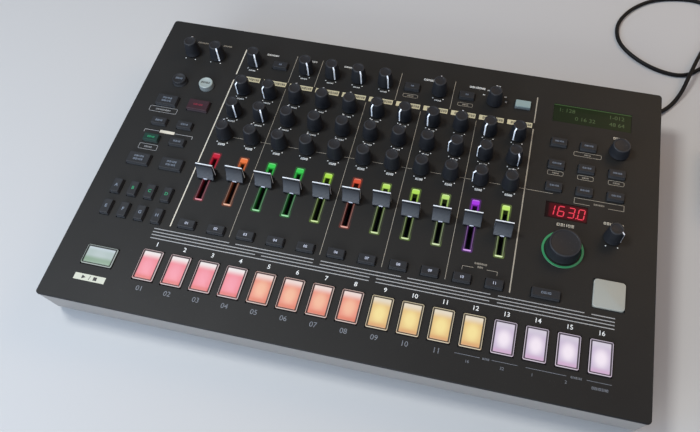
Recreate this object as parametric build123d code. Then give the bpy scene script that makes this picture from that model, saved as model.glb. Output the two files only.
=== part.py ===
from build123d import *
import math
import os

# Desktop drum machine: a wedge-shaped case with a flat control panel, sixteen step pads,
# eleven mixer channels and a DC lead with its plug-in mains adapter. Millimetres.
# Row frame: origin on the table under the middle of the case, +X right, +Y rear, +Z up.
# Panel places are given from the panel's left edge and from its rear edge.

# Case
panel_width = 409.0
panel_depth = 263.0
front_height = 34.5
rear_height = 45.0
panel_thickness = 1.6
panel_corner = 2.7
panel_edge = 0.4
panel_overhang = 0.4
rear_overhang = 1.9
front_lean = 5.0
wall = 2.5
floor_thickness = 2.5
case_edge = 1.0
inner_corner = 1.2
rib_thickness = 1.6
rib_height = 4.0
rib_margin = 40.0
foot_height = 3.5
foot_radius = 9.0
foot_pocket = 0.8
foot_edge = 0.6
foot_inset = 26.0
boss_radius = 4.0
boss_inset = 9.4
boss_clearance = 0.6
standoff_radius = 3.5
standoff_length = 8.0
standoff_bore_radius = 1.5
standoff_bore_depth = 6.5
screw_reach = 6.0
screw_radius = 1.45
screw_head_radius = 2.8
screw_head_height = 2.2
screw_head_gap = 0.3

# Clearances
seat_gap = 0.1
slide_gap = 0.35
turn_gap = 0.5

# Boards
control_board_depth = 13.0
board_thickness = 1.6
board_rear_margin = 23.5
board_front_margin = 18.5
board_side_margin = 16.5
main_board_top = 16.0
main_board_depth = 62.0
main_board_left = -191.0
main_board_right = 179.0
board_rest_radius = 3.0
board_post_radius = 2.5
board_corner = 2.0
switch_block = 4.0
sensor_block = 7.0

# Knobs: base radius, top radius and height above the panel
knob_lift = 0.7
knob_skirt = 1.1
knob_edge = 0.5
knob_rim = 0.8
knob_dish = 0.4
spindle_radius = 3.0
small_knob = dict(base=6.4, top=4.9, height=13.6)
value_knob_size = dict(base=7.6, top=6.5, height=10.0)
tempo_knob_size = dict(base=12.0, top=10.9, height=10.2)
pointer_width = 0.9
pointer_depth = 0.3
pot_width = 10.0
pot_length = 10.5
pot_height = 6.5
pot_bore_depth = 5.0
pot_bore_gap = 0.3

# Mixer channels
channel_count = 11
channel_pitch = 22.0
first_channel = 83.1
top_row = 32.4
tune_row = 63.0
decay_row = 85.9
control_row = 108.8

# Faders
slot_middle = 149.4
slot_length = 37.2
slot_width = 3.4
guide_width = 5.6
guide_rear = 126.9
guide_front = 169.2
guide_proud = 0.2
fader_travel = 30.0
fader_cap_width = 13.0
fader_cap_length = 9.2
fader_cap_ridge = 2.4
fader_cap_lift = 1.3
fader_cap_height = 14.8
fader_cap_foot = 1.2
fader_cap_crown = 0.8
fader_cap_sag = 0.6
lever_width = 1.2
lever_length = 4.0
lever_reach = 4.6
fader_unit_width = 8.6
fader_unit_length = 46.0
fader_unit_height = 7.0
fader_groove_depth = 5.0
fader_groove_gap = 0.5
fader_places = [147.6, 145.3, 145.3, 146.3, 145.6, 144.8, 143.3, 147.3, 146.8, 145.6, 149.3]

# Step pads
pad_count = 16
pad_pitch = 20.52
first_pad = 68.3
pad_row = 227.3
pad_width = 15.0
pad_length = 23.7
pad_proud = 1.5
pad_travel = 1.0
pad_skirt = 5.5
pad_wall = 1.2
pad_corner = 1.0
pad_edge = 0.4
pad_flange = 0.8
trigger_corner = 2.2

# Buttons
button_height = 2.8
button_travel = 0.7
button_corner = 0.8
button_draft = 3.7
flange_width = 0.7
flange_thickness = 1.0
flange_gap = 0.3
round_button_radius = 5.9
round_button_height = 4.3
round_button_edge = 0.4
round_button_draft = 0.5

# Displays
lcd_width = 59.4
lcd_length = 17.3
tempo_display_width = 29.7
tempo_display_length = 13.4
window_depth = 0.2
display_margin = 1.0
ring_inner = 13.0
ring_outer = 14.5
ring_depth = 4.0
ring_leg = 2.0
ring_leg_place = 9.0

# Rear sockets: row-frame X of each socket's axis
jack_places = [-180.0, -152.0, -132.0, -104.0, -84.0, -52.0, -32.0, -12.0, 8.0, 28.0, 48.0]
jack_bore_radius = 3.25
jack_bore_depth = 20.0
jack_nose_radius = 5.7
jack_proud = 1.2
jack_body_width = 16.0
jack_body_height = 12.0
jack_body_depth = 26.0
midi_places = [84.0, 106.0]
midi_nose_radius = 8.0
midi_bore_radius = 6.7
midi_bore_depth = 9.0
midi_body_width = 20.0
midi_body_height = 19.0
midi_body_depth = 13.0
usb_place = 130.0
usb_body_width = 12.0
usb_body_height = 11.0
usb_body_depth = 16.0
usb_mouth_width = 8.4
usb_mouth_height = 7.8
usb_mouth_depth = 9.0
usb_tongue = (5.6, 8.0, 3.2)
dc_place = 152.0
dc_body_width = 9.0
dc_body_height = 10.0
dc_body_depth = 14.0
dc_pin_radius = 1.0
dc_bore_radius = 2.9
dc_bore_depth = 10.0
switch_place = 181.0
switch_width = 15.0
switch_height = 11.0
switch_depth = 12.0
switch_rim = 0.7
switch_throw = 14.0
rocker_width = 12.0
rocker_height = 8.4
rocker_pivot_depth = 3.0
rocker_depth = 3.4
rocker_taper = 0.55
rocker_proud = 1.2

# Lead and adapter
cord_diameter = 3.5
plug_barrel_radius = 2.75
plug_barrel_length = 9.0
plug_head_radius = 5.0
plug_head_edge = 1.5
plug_bore_gap = 0.15
relief_start = 3.0
relief_radius = 3.6
relief_collars = 3
collar_groove = 0.5
adapter_length = 62.0
adapter_width = 42.0
adapter_height = 27.0
adapter_corner = 4.0
adapter_end = 2.0
adapter_relief_length = 14.0
blade_length = 17.0
blade_width = 6.3
blade_thickness = 1.5
blade_spacing = 12.7

tilt = math.degrees(math.asin((rear_height - front_height) / panel_depth))
middle_height = (front_height + rear_height) / 2
panel_frame = Location((0, 0, middle_height), (tilt, 0, 0))
case_width = panel_width - 2 * panel_overhang
front_wall = -panel_depth / 2 + panel_overhang
rear_wall = panel_depth / 2 - rear_overhang
main_board_rear = rear_wall - wall - seat_gap
socket_height = main_board_top + jack_body_height / 2
midi_height = main_board_top + midi_body_height / 2
usb_height = main_board_top + usb_body_height / 2
dc_axis_height = main_board_top + dc_body_height / 2


def underside(y):
    """Height of the panel's underside above the table at row-frame y."""
    lean = math.radians(tilt)
    return middle_height - panel_thickness / math.cos(lean) + y * math.tan(lean)


def flat(from_left, from_rear):
    """Panel place as x and y in the panel's own plane."""
    return from_left - panel_width / 2, panel_depth / 2 - from_rear


def spot(from_left, from_rear, height=0.0):
    x, y = flat(from_left, from_rear)
    return Pos(x, y, height)


def group(solids):
    return Compound(children=[s for shape in solids for s in shape.solids()])


guide_middle = (guide_rear + guide_front) / 2
guide_length = guide_front - guide_rear
channels = [first_channel + channel_pitch * i for i in range(channel_count)]
pad_places = [first_pad + pad_pitch * i for i in range(pad_count)]

# Knobs that turn one by one: place, size and the pointer's clock angle at rest
main_knobs = {
    "volume_knob": (28.6, top_row, small_knob, 0),
    "input_knob": (50.4, top_row, small_knob, 150),
    "accent_knob": (82.8, top_row, small_knob, 150),
    "reverb_knob": (126.9, top_row, small_knob, 150),
    "delay_level_knob": (149.0, top_row, small_knob, 150),
    "delay_time_knob": (171.0, top_row, small_knob, 150),
    "delay_feedback_knob": (193.0, top_row, small_knob, 150),
    "master_knob": (237.0, top_row, small_knob, 0),
    "fill_knob": (281.0, top_row + 1.0, small_knob, 0),
    "value_knob": (378.8, 63.2, value_knob_size, None),
    "tempo_knob": (345.5, 154.2, tempo_knob_size, None),
    "shuffle_knob": (378.2, 137.9, small_knob, 120),
}
tune_angles = [-150, -150, 0, 0, 0, -150, -150, -150, 0, -150, -150]
decay_angles = [150, 150, 0, 0, 0, 0, 0, 0, -120, -120, 150]
control_angles = [0, 0, 0, 0, 0, 0, 0, 0, 0, -120, 0]
channel_knobs = [
    (x, row, angle)
    for row, angles in ((tune_row, tune_angles), (decay_row, decay_angles), (control_row, control_angles))
    for x, angle in zip(channels, angles)
]

# Buttons: from left, from rear, width, length
instrument_buttons = [(x, 190.9, 12.4, 7.0) for x in channels]
wide_columns = (26.9, 53.2)
narrow_columns = (28.6, 49.7)
letter_columns = (20.6, 33.7, 46.8, 59.9)
right_columns = (334.3, 356.2, 378.4)
function_buttons = (
    [(x, y, 17.2, 10.2) for y in (86.6, 144.4) for x in wide_columns]
    + [(x, y, 12.2, 6.8) for y in (107.6, 124.0) for x in narrow_columns]
    + [(x, y, 6.8, 12.2) for y in (170.7, 189.1) for x in letter_columns]
    + [(x, 63.6, 12.2, 7.0) for x in right_columns[:2]]
    + [(x, y, 12.2, 7.0) for y in (84.2, 104.2) for x in right_columns]
    + [(x, 32.8, 12.2, 7.0) for x in (104.8, 215.0, 259.0, 303.3)]
    + [(337.5, 190.8, 19.2, 7.0)]
)
round_buttons = [(29.2, 64.8), (51.9, 64.8)]
start_pad = (32.4, 227.8, 22.8, 15.0)
trigger_pad = (378.6, 182.5, 21.0, 20.8)
lcd_place = (357.1, 33.9)
tempo_display_place = (345.2, 123.4)
tempo_place = main_knobs["tempo_knob"][:2]

# Fixing points in the row frame
boss_side = case_width / 2 - boss_inset
boss_front = front_wall + front_lean + boss_inset - 2.0
boss_rear = rear_wall - boss_inset + 1.9
case_bosses = [(side * boss_side, y) for side in (-1, 1) for y in (boss_front, 0.0, boss_rear)]
case_bosses += [(x, y) for x in (-68.0, 66.0) for y in (boss_front, boss_rear)]
board_posts = [(72.1, 47.7), (193.1, 47.7), (314.1, 47.7), (72.1, 178.0), (193.1, 178.0), (314.1, 178.0)]
foot_x = panel_width / 2 - foot_inset
foot_y = panel_depth / 2 - foot_inset
foot_places = [(x, y) for x in (-foot_x, foot_x) for y in (-foot_y, foot_y)]
board_rests = [(x, rear_wall - 46.0) for x in (-186.0, -68.0, 66.0, 170.0)]


def round_hole(from_left, from_rear, radius):
    return Pos(*flat(from_left, from_rear)) * Circle(radius)


def square_hole(from_left, from_rear, width, length, gap):
    return Pos(*flat(from_left, from_rear)) * Rectangle(width + 2 * gap, length + 2 * gap)


def make_top_panel():
    holes = [round_hole(x, y, spindle_radius + turn_gap) for x, y, _ in channel_knobs]
    for name, (x, y, _, _) in main_knobs.items():
        if name != "tempo_knob":
            holes.append(round_hole(x, y, spindle_radius + turn_gap))
    holes.append(round_hole(*tempo_place, ring_outer + seat_gap))
    holes += [round_hole(x, y, round_button_radius + slide_gap) for x, y in round_buttons]
    for x in channels:
        holes.append(square_hole(x, guide_middle, guide_width, guide_length, seat_gap))
    for x, y, width, length in instrument_buttons + function_buttons + [start_pad, trigger_pad]:
        holes.append(square_hole(x, y, width, length, slide_gap))
    for x in pad_places:
        holes.append(square_hole(x, pad_row, pad_width, pad_length, slide_gap))
    holes.append(square_hole(*lcd_place, lcd_width, lcd_length, seat_gap))
    holes.append(square_hole(*tempo_display_place, tempo_display_width, tempo_display_length, seat_gap))
    outline = RectangleRounded(panel_width, panel_depth, panel_corner)
    blank = extrude(outline, -panel_thickness)
    blank = chamfer(blank.faces().sort_by(Axis.Z)[-1].edges(), panel_edge)
    plate = blank - extrude(Sketch() + holes, -panel_thickness)
    post_length = control_board_depth - panel_thickness
    for x, y in board_posts:
        plate += spot(x, y, -panel_thickness - post_length / 2) * Cylinder(board_post_radius, post_length)
    plate = panel_frame * plate
    for x, y in case_bosses:
        top = underside(y) + panel_thickness / 2
        bottom = underside(y) - standoff_length
        plate += Pos(x, y, (top + bottom) / 2) * Cylinder(standoff_radius, top - bottom)
        bore = Cylinder(standoff_bore_radius, standoff_bore_depth)
        plate -= Pos(x, y, bottom + standoff_bore_depth / 2) * bore
    return plate


def case_wedge(inset, base, overshoot):
    """Wedge between the case's four walls, each moved in by inset, from base up to the panel."""
    rise = underside(front_wall) - foot_height
    lean = front_lean * (base - foot_height) / rise
    front_base = front_wall + front_lean - lean + inset
    front_top = front_wall + inset
    back = rear_wall - inset
    side = Polyline(
        (front_base, base),
        (back, base),
        (back, underside(back) + overshoot),
        (front_top, underside(front_top) + overshoot),
        close=True,
    )
    return extrude(make_face(Plane.YZ * side), case_width / 2 - inset, both=True)


def upright_edges(shape):
    return shape.edges().filter_by(lambda e: abs((e @ 1 - e @ 0).normalized().Z) > 0.9)


def make_lower_case():
    outer = case_wedge(0, foot_height, 0)
    outer = fillet(upright_edges(outer), panel_corner - panel_overhang)
    bottom = outer.faces().sort_by(Axis.Z)[0]
    outer = chamfer(bottom.edges(), case_edge)
    inner = case_wedge(wall, foot_height + floor_thickness, 5)
    inner = fillet(upright_edges(inner), inner_corner)
    case = outer - inner
    floor = foot_height + floor_thickness
    for x, y in case_bosses:
        top = underside(y) - standoff_length
        case += Pos(x, y, (floor + top) / 2) * Cylinder(boss_radius, top - floor)
    for x, y in board_rests:
        top = main_board_top - board_thickness
        case += Pos(x, y, (floor + top) / 2) * Cylinder(board_rest_radius, top - floor)
    rib_length = panel_depth - 2 * rib_margin
    for x in (-case_width / 3, 0.0, case_width / 3):
        case += Pos(x, 0, floor + rib_height / 2) * Box(rib_thickness, rib_length, rib_height)
    cuts = []
    for x, y in case_bosses:
        cuts.append(Pos(x, y, underside(y) / 2) * Cylinder(screw_radius + seat_gap, underside(y)))
        head_room = Cylinder(screw_head_radius + screw_head_gap, screw_head_height + 2 * seat_gap)
        cuts.append(Pos(x, y, foot_height + screw_head_height / 2) * head_room)
    for x, y in foot_places:
        pocket = Cylinder(foot_radius + 2 * seat_gap, foot_pocket)
        cuts.append(Pos(x, y, foot_height + foot_pocket / 2) * pocket)
    wall_middle = rear_wall - wall / 2
    lie = Rot(90, 0, 0)
    jack_hole = lie * Cylinder(jack_nose_radius + seat_gap, 3 * wall)
    midi_hole = lie * Cylinder(midi_nose_radius + seat_gap, 3 * wall)
    cuts += [Pos(x, wall_middle, socket_height) * jack_hole for x in jack_places]
    cuts += [Pos(x, wall_middle, midi_height) * midi_hole for x in midi_places]
    for x, z, width, height in (
        (usb_place, usb_height, usb_body_width, usb_body_height),
        (dc_place, dc_axis_height, dc_body_width, dc_body_height),
        (switch_place, socket_height, switch_width, switch_height),
    ):
        cuts.append(Pos(x, wall_middle, z) * Box(width + 2 * seat_gap, 3 * wall, height + 2 * seat_gap))
    return case - cuts


def make_rubber_feet():
    height = foot_height + foot_pocket
    foot = Pos(0, 0, height / 2) * Cylinder(foot_radius, height)
    foot = chamfer(foot.edges().group_by(Axis.Z)[0], foot_edge)
    return group([Pos(x, y) * foot for x, y in foot_places])


def make_case_screws():
    screws = []
    for x, y in case_bosses:
        tip = underside(y) - standoff_length + screw_reach
        seat = foot_height + screw_head_height
        head = Pos(x, y, seat - screw_head_height / 2) * Cylinder(screw_head_radius, screw_head_height)
        shank = Pos(x, y, (seat + tip) / 2) * Cylinder(screw_radius, tip - seat)
        screws.append(head + shank)
    return group(screws)


def make_circuit_boards():
    """Control board with its switch blocks, and the main board behind the rear sockets."""
    width = panel_width - 2 * board_side_margin
    board = RectangleRounded(width, panel_depth - board_rear_margin - board_front_margin, board_corner)
    middle = (panel_depth + board_rear_margin - board_front_margin) / 2
    plate = spot(panel_width / 2, middle, -control_board_depth) * extrude(board, -board_thickness)
    tall = control_board_depth - (panel_thickness + flange_thickness + button_travel + 2 * flange_gap)
    low = control_board_depth - (pad_skirt + pad_travel + flange_gap)
    tall_block = Box(switch_block, switch_block, tall)
    low_block = Box(sensor_block, sensor_block, low)
    switches = [(x, y) for x, y, _, _ in instrument_buttons + function_buttons] + round_buttons
    sensors = [(x, pad_row) for x in pad_places] + [start_pad[:2], trigger_pad[:2]]
    blocks = [spot(x, y, tall / 2 - control_board_depth) * tall_block for x, y in switches]
    blocks += [spot(x, y, low / 2 - control_board_depth) * low_block for x, y in sensors]
    plate += blocks
    control = panel_frame * plate
    middle = ((main_board_left + main_board_right) / 2, main_board_rear - main_board_depth / 2)
    sheet = Pos(*middle) * Rectangle(main_board_right - main_board_left, main_board_depth)
    sheet -= [Pos(x, y) * Circle(boss_radius + boss_clearance) for x, y in case_bosses]
    main = Pos(0, 0, main_board_top) * extrude(sheet, -board_thickness)
    return group([control, main])


def knob_shape(size, foot):
    """Turned knob with its spindle down to foot, standing on the panel's surface."""
    base, top, height = size["base"], size["top"], size["height"]
    profile = Polyline(
        (0, -foot),
        (spindle_radius, -foot),
        (spindle_radius, knob_lift),
        (base, knob_lift),
        (base, knob_lift + knob_skirt),
        (top, height - knob_edge),
        (top - knob_edge, height),
        (top - knob_edge - knob_rim, height),
        (top - knob_edge - knob_rim - knob_dish, height - knob_dish),
        (0, height - knob_dish),
        close=True,
    )
    return revolve(make_face(Plane.XZ * profile), Axis.Z)


def pointer_cut(size, clock):
    """Shallow line down the knob's side, towards a clock angle in degrees from twelve."""
    base, top, height = size["base"], size["top"], size["height"]
    foot = knob_lift + knob_skirt
    run = height - knob_edge - foot
    lean = math.degrees(math.atan2(base - top, run))
    reach = 4.0
    bar = Rot(lean, 0, 0) * Box(pointer_width, reach, run + reach)
    side = (base + top + reach) / 2 - pointer_depth
    return Rot(0, 0, -clock) * Pos(0, side, foot + run / 2) * bar


def make_knob(size, clock, foot):
    knob = knob_shape(size, foot)
    if clock is not None:
        knob -= pointer_cut(size, clock)
    return knob


def make_channel_knobs():
    foot = control_board_depth - pot_height
    shapes = {angle: make_knob(small_knob, angle, foot) for angle in {a for _, _, a in channel_knobs}}
    return panel_frame * group([spot(x, y) * shapes[angle] for x, y, angle in channel_knobs])


def make_main_knob(name):
    x, y, size, clock = main_knobs[name]
    foot = control_board_depth - pot_height + pot_bore_depth - flange_gap
    return panel_frame * (spot(x, y) * make_knob(size, clock, foot))


def make_knob_pots():
    top = -control_board_depth + pot_height
    body = Pos(0, 0, top - pot_height / 2) * Box(pot_width, pot_length, pot_height)
    bore = Cylinder(spindle_radius + pot_bore_gap, pot_bore_depth)
    bored = body - Pos(0, 0, top - pot_bore_depth / 2) * bore
    pots = [spot(x, y) * body for x, y, _ in channel_knobs]
    pots += [spot(x, y) * bored for x, y, _, _ in main_knobs.values()]
    return panel_frame * group(pots)


def make_fader_units():
    top = -control_board_depth + fader_unit_height
    body = Box(fader_unit_width, fader_unit_length, fader_unit_height)
    body = Pos(0, 0, top - fader_unit_height / 2) * body
    groove_length = fader_travel + lever_length + 2 * fader_groove_gap
    groove = Box(lever_width + 2 * fader_groove_gap, groove_length, fader_groove_depth)
    body -= Pos(0, 0, top - fader_groove_depth / 2) * groove
    return panel_frame * group([spot(x, slot_middle) * body for x in channels])


def make_fader_light_guides():
    bottom = -control_board_depth + fader_unit_height
    slot = Pos(0, guide_middle - slot_middle) * Rectangle(slot_width, slot_length)
    frame = Rectangle(guide_width, guide_length) - slot
    guide = Pos(0, 0, bottom) * extrude(frame, guide_proud - bottom)
    return panel_frame * group([spot(x, guide_middle) * guide for x in channels])


def make_fader_cap(index):
    half_base = fader_cap_length / 2
    half_ridge = fader_cap_ridge / 2
    lower = Vector(half_base, fader_cap_lift + fader_cap_foot)
    upper = Vector(half_ridge, fader_cap_height - fader_cap_crown)
    slope = upper - lower
    bow = (lower + upper) / 2 + Vector(-slope.Y, slope.X).normalized() * fader_cap_sag
    outline = [
        Line((-half_base, fader_cap_lift), (half_base, fader_cap_lift)),
        Line((half_base, fader_cap_lift), (lower.X, lower.Y)),
        ThreePointArc((lower.X, lower.Y), (bow.X, bow.Y), (upper.X, upper.Y)),
        Line((upper.X, upper.Y), (half_ridge - 0.3, fader_cap_height)),
        Line((half_ridge - 0.3, fader_cap_height), (-half_ridge + 0.3, fader_cap_height)),
        Line((-half_ridge + 0.3, fader_cap_height), (-upper.X, upper.Y)),
        ThreePointArc((-upper.X, upper.Y), (-bow.X, bow.Y), (-lower.X, lower.Y)),
        Line((-lower.X, lower.Y), (-half_base, fader_cap_lift)),
    ]
    side = make_face(Plane.YZ * (Curve() + outline))
    cap = extrude(side, fader_cap_width / 2, both=True)
    foot = -control_board_depth + fader_unit_height - lever_reach
    lever = Pos(0, 0, (foot + fader_cap_lift) / 2) * Box(lever_width, lever_length, fader_cap_lift - foot)
    return panel_frame * (spot(channels[index], fader_places[index]) * (cap + lever))


def make_pad(place, width, length, corner=pad_corner):
    outer = Pos(0, 0, -pad_skirt) * extrude(RectangleRounded(width, length, corner), pad_skirt + pad_proud)
    outer = chamfer(outer.faces().sort_by(Axis.Z)[-1].edges(), pad_edge)
    flange_top = -panel_thickness - flange_gap
    flange = Box(width + 2 * pad_flange, length + 2 * pad_flange, flange_thickness)
    flange = Pos(0, 0, flange_top - flange_thickness / 2) * flange
    hollow = Pos(0, 0, -pad_skirt / 2) * Box(width - 2 * pad_wall, length - 2 * pad_wall, pad_skirt)
    return panel_frame * (spot(*place) * (outer + flange - hollow))


def make_button(width, length):
    flange_top = -panel_thickness - flange_gap
    cap = Pos(0, 0, flange_top) * extrude(
        RectangleRounded(width, length, button_corner), button_height - flange_top, taper=button_draft
    )
    flange = Pos(0, 0, flange_top - flange_thickness / 2) * Box(
        width + 2 * flange_width, length + 2 * flange_width, flange_thickness
    )
    return cap + flange


def make_round_button():
    flange_top = -panel_thickness - flange_gap
    profile = Polyline(
        (0, flange_top - flange_thickness),
        (round_button_radius + flange_width, flange_top - flange_thickness),
        (round_button_radius + flange_width, flange_top),
        (round_button_radius, flange_top),
        (round_button_radius, round_button_draft),
        (round_button_radius - round_button_draft, round_button_height - round_button_edge),
        (round_button_radius - round_button_draft - round_button_edge, round_button_height),
        (0, round_button_height),
        close=True,
    )
    return revolve(make_face(Plane.XZ * profile), Axis.Z)


def make_button_group(rows, rounds=()):
    shapes = {}
    placed = []
    for x, y, width, length in rows:
        if (width, length) not in shapes:
            shapes[width, length] = make_button(width, length)
        placed.append(spot(x, y) * shapes[width, length])
    placed += [spot(x, y) * make_round_button() for x, y in rounds]
    return panel_frame * group(placed)


def make_displays():
    """Character display and tempo display, each a module on the board behind a flush window."""
    solids = []
    for (x, y), width, length in (
        (lcd_place, lcd_width, lcd_length),
        (tempo_display_place, tempo_display_width, tempo_display_length),
    ):
        window = Box(width, length, panel_thickness)
        solids.append(spot(x, y, -window_depth - panel_thickness / 2) * window)
        depth = control_board_depth - panel_thickness - window_depth
        module = Box(width - 2 * display_margin, length - 2 * display_margin, depth)
        solids.append(spot(x, y, -control_board_depth + depth / 2) * module)
    return panel_frame * group(solids)


def make_tempo_ring():
    ring = Circle(ring_outer) - Circle(ring_inner)
    depth = panel_thickness + ring_depth
    lit = Pos(0, 0, guide_proud) * extrude(ring, -depth - guide_proud)
    disc = Circle(ring_inner - seat_gap) - Circle(spindle_radius + turn_gap)
    bezel = extrude(disc, -depth)
    leg = Box(ring_leg, ring_leg, control_board_depth - depth)
    leg = Pos(0, 0, -(depth + control_board_depth) / 2) * leg
    sides = (-ring_leg_place, ring_leg_place)
    legs = [Pos(x, y) * leg for x in sides for y in sides]
    return panel_frame * (spot(*tempo_place) * group([lit, bezel + legs]))


def make_audio_jack(x):
    mouth = rear_wall + jack_proud
    nose_length = mouth - main_board_rear
    lie = Rot(90, 0, 0)
    axis = Pos(x, 0, socket_height)
    body = Box(jack_body_width, jack_body_depth, jack_body_height)
    body = Pos(0, main_board_rear - jack_body_depth / 2) * body
    nose = Pos(0, mouth - nose_length / 2) * lie * Cylinder(jack_nose_radius, nose_length)
    bore = Pos(0, mouth - jack_bore_depth / 2) * lie * Cylinder(jack_bore_radius, jack_bore_depth)
    return axis * (body + nose - bore)


def make_midi_socket(x):
    nose_length = rear_wall - main_board_rear
    lie = Rot(90, 0, 0)
    axis = Pos(x, 0, midi_height)
    body = Box(midi_body_width, midi_body_depth, midi_body_height)
    body = Pos(0, main_board_rear - midi_body_depth / 2) * body
    nose = Pos(0, rear_wall - nose_length / 2) * lie * Cylinder(midi_nose_radius, nose_length)
    bore = Pos(0, rear_wall - midi_bore_depth / 2) * lie * Cylinder(midi_bore_radius, midi_bore_depth)
    return axis * (body + nose - bore)


def make_usb_socket():
    front = Pos(usb_place, rear_wall, usb_height)
    shell = front * Pos(0, -usb_body_depth / 2, 0) * Box(usb_body_width, usb_body_depth, usb_body_height)
    mouth = Box(usb_mouth_width, usb_mouth_depth, usb_mouth_height)
    mouth = front * Pos(0, -usb_mouth_depth / 2, 0) * mouth
    tongue = front * Pos(0, -usb_mouth_depth + usb_tongue[1] / 2 - 0.5, 0) * Box(*usb_tongue)
    return shell - mouth + tongue


def make_dc_inlet():
    front = Pos(dc_place, rear_wall, dc_axis_height)
    lie = Rot(90, 0, 0)
    body = front * Pos(0, -dc_body_depth / 2, 0) * Box(dc_body_width, dc_body_depth, dc_body_height)
    bore = front * Pos(0, -dc_bore_depth / 2, 0) * lie * Cylinder(dc_bore_radius, dc_bore_depth)
    pin = front * Pos(0, -(dc_bore_depth + 1) / 2, 0) * lie * Cylinder(dc_pin_radius, dc_bore_depth - 1)
    return body - bore + pin


def make_switch_frame():
    front = Pos(switch_place, rear_wall, socket_height)
    box = front * Pos(0, -switch_depth / 2, 0) * Box(switch_width, switch_depth, switch_height)
    width, height = switch_width - 2 * switch_rim, rocker_height + 2 * slide_gap
    space = front * Pos(0, -switch_depth / 2 + 1.5, 0) * Box(width, switch_depth - 1, height)
    return box - space


def make_rear_sockets():
    solids = [make_audio_jack(x) for x in jack_places]
    solids += [make_midi_socket(x) for x in midi_places]
    solids += [make_usb_socket(), make_dc_inlet(), make_switch_frame()]
    return group(solids)


def make_power_switch():
    """Rocker with two facets, lying on its right-hand facet about an upright axis."""
    half_throw = switch_throw / 2
    half = rocker_width / 2
    dip = half * math.tan(math.radians(half_throw))
    outline = Polyline(
        (-half, rocker_proud + dip * 2),
        (0, rocker_proud + dip),
        (half, rocker_proud + dip * 2),
        (half * rocker_taper, -rocker_depth),
        (-half * rocker_taper, -rocker_depth),
        close=True,
    )
    rocker = extrude(make_face(outline), rocker_height / 2, both=True)
    return Pos(switch_place, rear_wall - rocker_pivot_depth, socket_height) * Rot(0, 0, half_throw) * rocker


# Route of the lead over the table, from the plug's strain relief to the coil
cord_route = [
    (174.0, 135.5, 21.0),
    (186.5, 135.5, 21.0),
    (199.8, 140.6, 13.0),
    (210.2, 149.0, 4.6),
    (220.0, 158.2, 1.75),
    (227.7, 168.8, 1.75),
    (233.5, 180.4, 4.8),
    (238.3, 196.2, 8.9),
    (244.8, 216.6, 8.9),
    (252.0, 236.6, 5.2),
    (260.0, 253.0, 1.75),
    (267.0, 267.5, 1.75),
    (269.6, 281.0, 1.75),
    (266.4, 293.8, 1.75),
    (258.0, 302.8, 1.75),
    (246.0, 306.6, 1.75),
    (230.5, 305.2, 1.75),
    (214.5, 301.2, 1.75),
    (199.5, 293.0, 1.75),
    (184.3, 277.0, 1.75),
    (174.8, 256.0, 1.75),
    (177.2, 233.2, 1.75),
    (193.0, 215.2, 1.75),
    (215.0, 203.2, 1.75),
    (237.0, 201.6, 1.75),
    (252.6, 217.0, 1.75),
]

# Coil of the spare length, wound clockwise: its outer turn runs on from the route's last run
coil_turns_wide = 4
coil_turns_high = 2
coil_radius = 21.0
coil_stub = 14.5
coil_leaves = -45.0
coil_outer_turn = coil_radius + (coil_turns_wide - 1) * cord_diameter / 2
route_end = Vector(*cord_route[-1])
arriving = (route_end - Vector(*cord_route[-2])).normalized()
coil_centre = route_end + arriving * coil_stub + Vector(arriving.Y, -arriving.X) * coil_outer_turn
coil_middle = Vector(coil_centre.X, coil_centre.Y, 0)
leaving_spoke = Vector(1, 0).rotate(Axis.Z, coil_leaves)
leaving = Vector(leaving_spoke.Y, -leaving_spoke.X)
tail_height = (coil_turns_high - 0.5) * cord_diameter
tail_start = coil_middle + leaving_spoke * coil_outer_turn + leaving * coil_stub + Vector(0, 0, tail_height)

# Route of the tail, from the coil to the adapter's strain relief
tail_bend = tail_start + leaving * 11.5
adapter_relief_end = (276.8, 138.5, 6.5)
tail_route = [
    tuple(tail_start),
    tuple(tail_bend),
    (277.2, 160.0, 4.4),
    (276.8, 148.5, 6.5),
    adapter_relief_end,
]


def corner_radii(points):
    """Largest even arc for each corner: 0.45 of its shorter run over the tangent of half its turn."""
    vectors = [Vector(*p) for p in points]
    radii = []
    for before, here, after in zip(vectors, vectors[1:], vectors[2:]):
        half_turn = math.radians((here - before).get_angle(after - here)) / 2
        shorter = min((here - before).length, (after - here).length)
        radii.append(0.45 * shorter / math.tan(half_turn))
    return radii


def cord_tube(label, points):
    radii = corner_radii(points)
    path = FilletPolyline(*points, radius=radii)
    start = Plane(origin=points[0], z_dir=Vector(*points[1]) - Vector(*points[0]))
    tube = sweep(start * Circle(cord_diameter / 2), path=path)
    section = math.pi * cord_diameter**2 / 4
    print(label, "length", round(path.length, 1), "radii", [round(r, 1) for r in radii])
    print(label, "volume over section times length", round(tube.volume / (section * path.length), 4))
    return tube


def make_power_cord():
    return group([cord_tube("lead", cord_route), cord_tube("tail", tail_route)])


def make_power_cord_coil():
    width = coil_turns_wide * cord_diameter
    height = coil_turns_high * cord_diameter
    section = Pos(coil_radius, height / 2) * RectangleRounded(width, height, cord_diameter / 2 - 0.05)
    ring = Pos(*coil_middle) * revolve(Plane.XZ * section, Axis.Z)
    stub = Circle(cord_diameter / 2)
    entry = extrude(Plane(origin=route_end, z_dir=arriving) * stub, coil_stub)
    outlet = extrude(Plane(origin=tail_start, z_dir=-leaving) * stub, coil_stub)
    turns = coil_turns_wide * coil_turns_high
    print("coil", turns, "turns, about", round(turns * 2 * math.pi * coil_radius), "mm")
    return ring + entry + outlet


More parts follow.
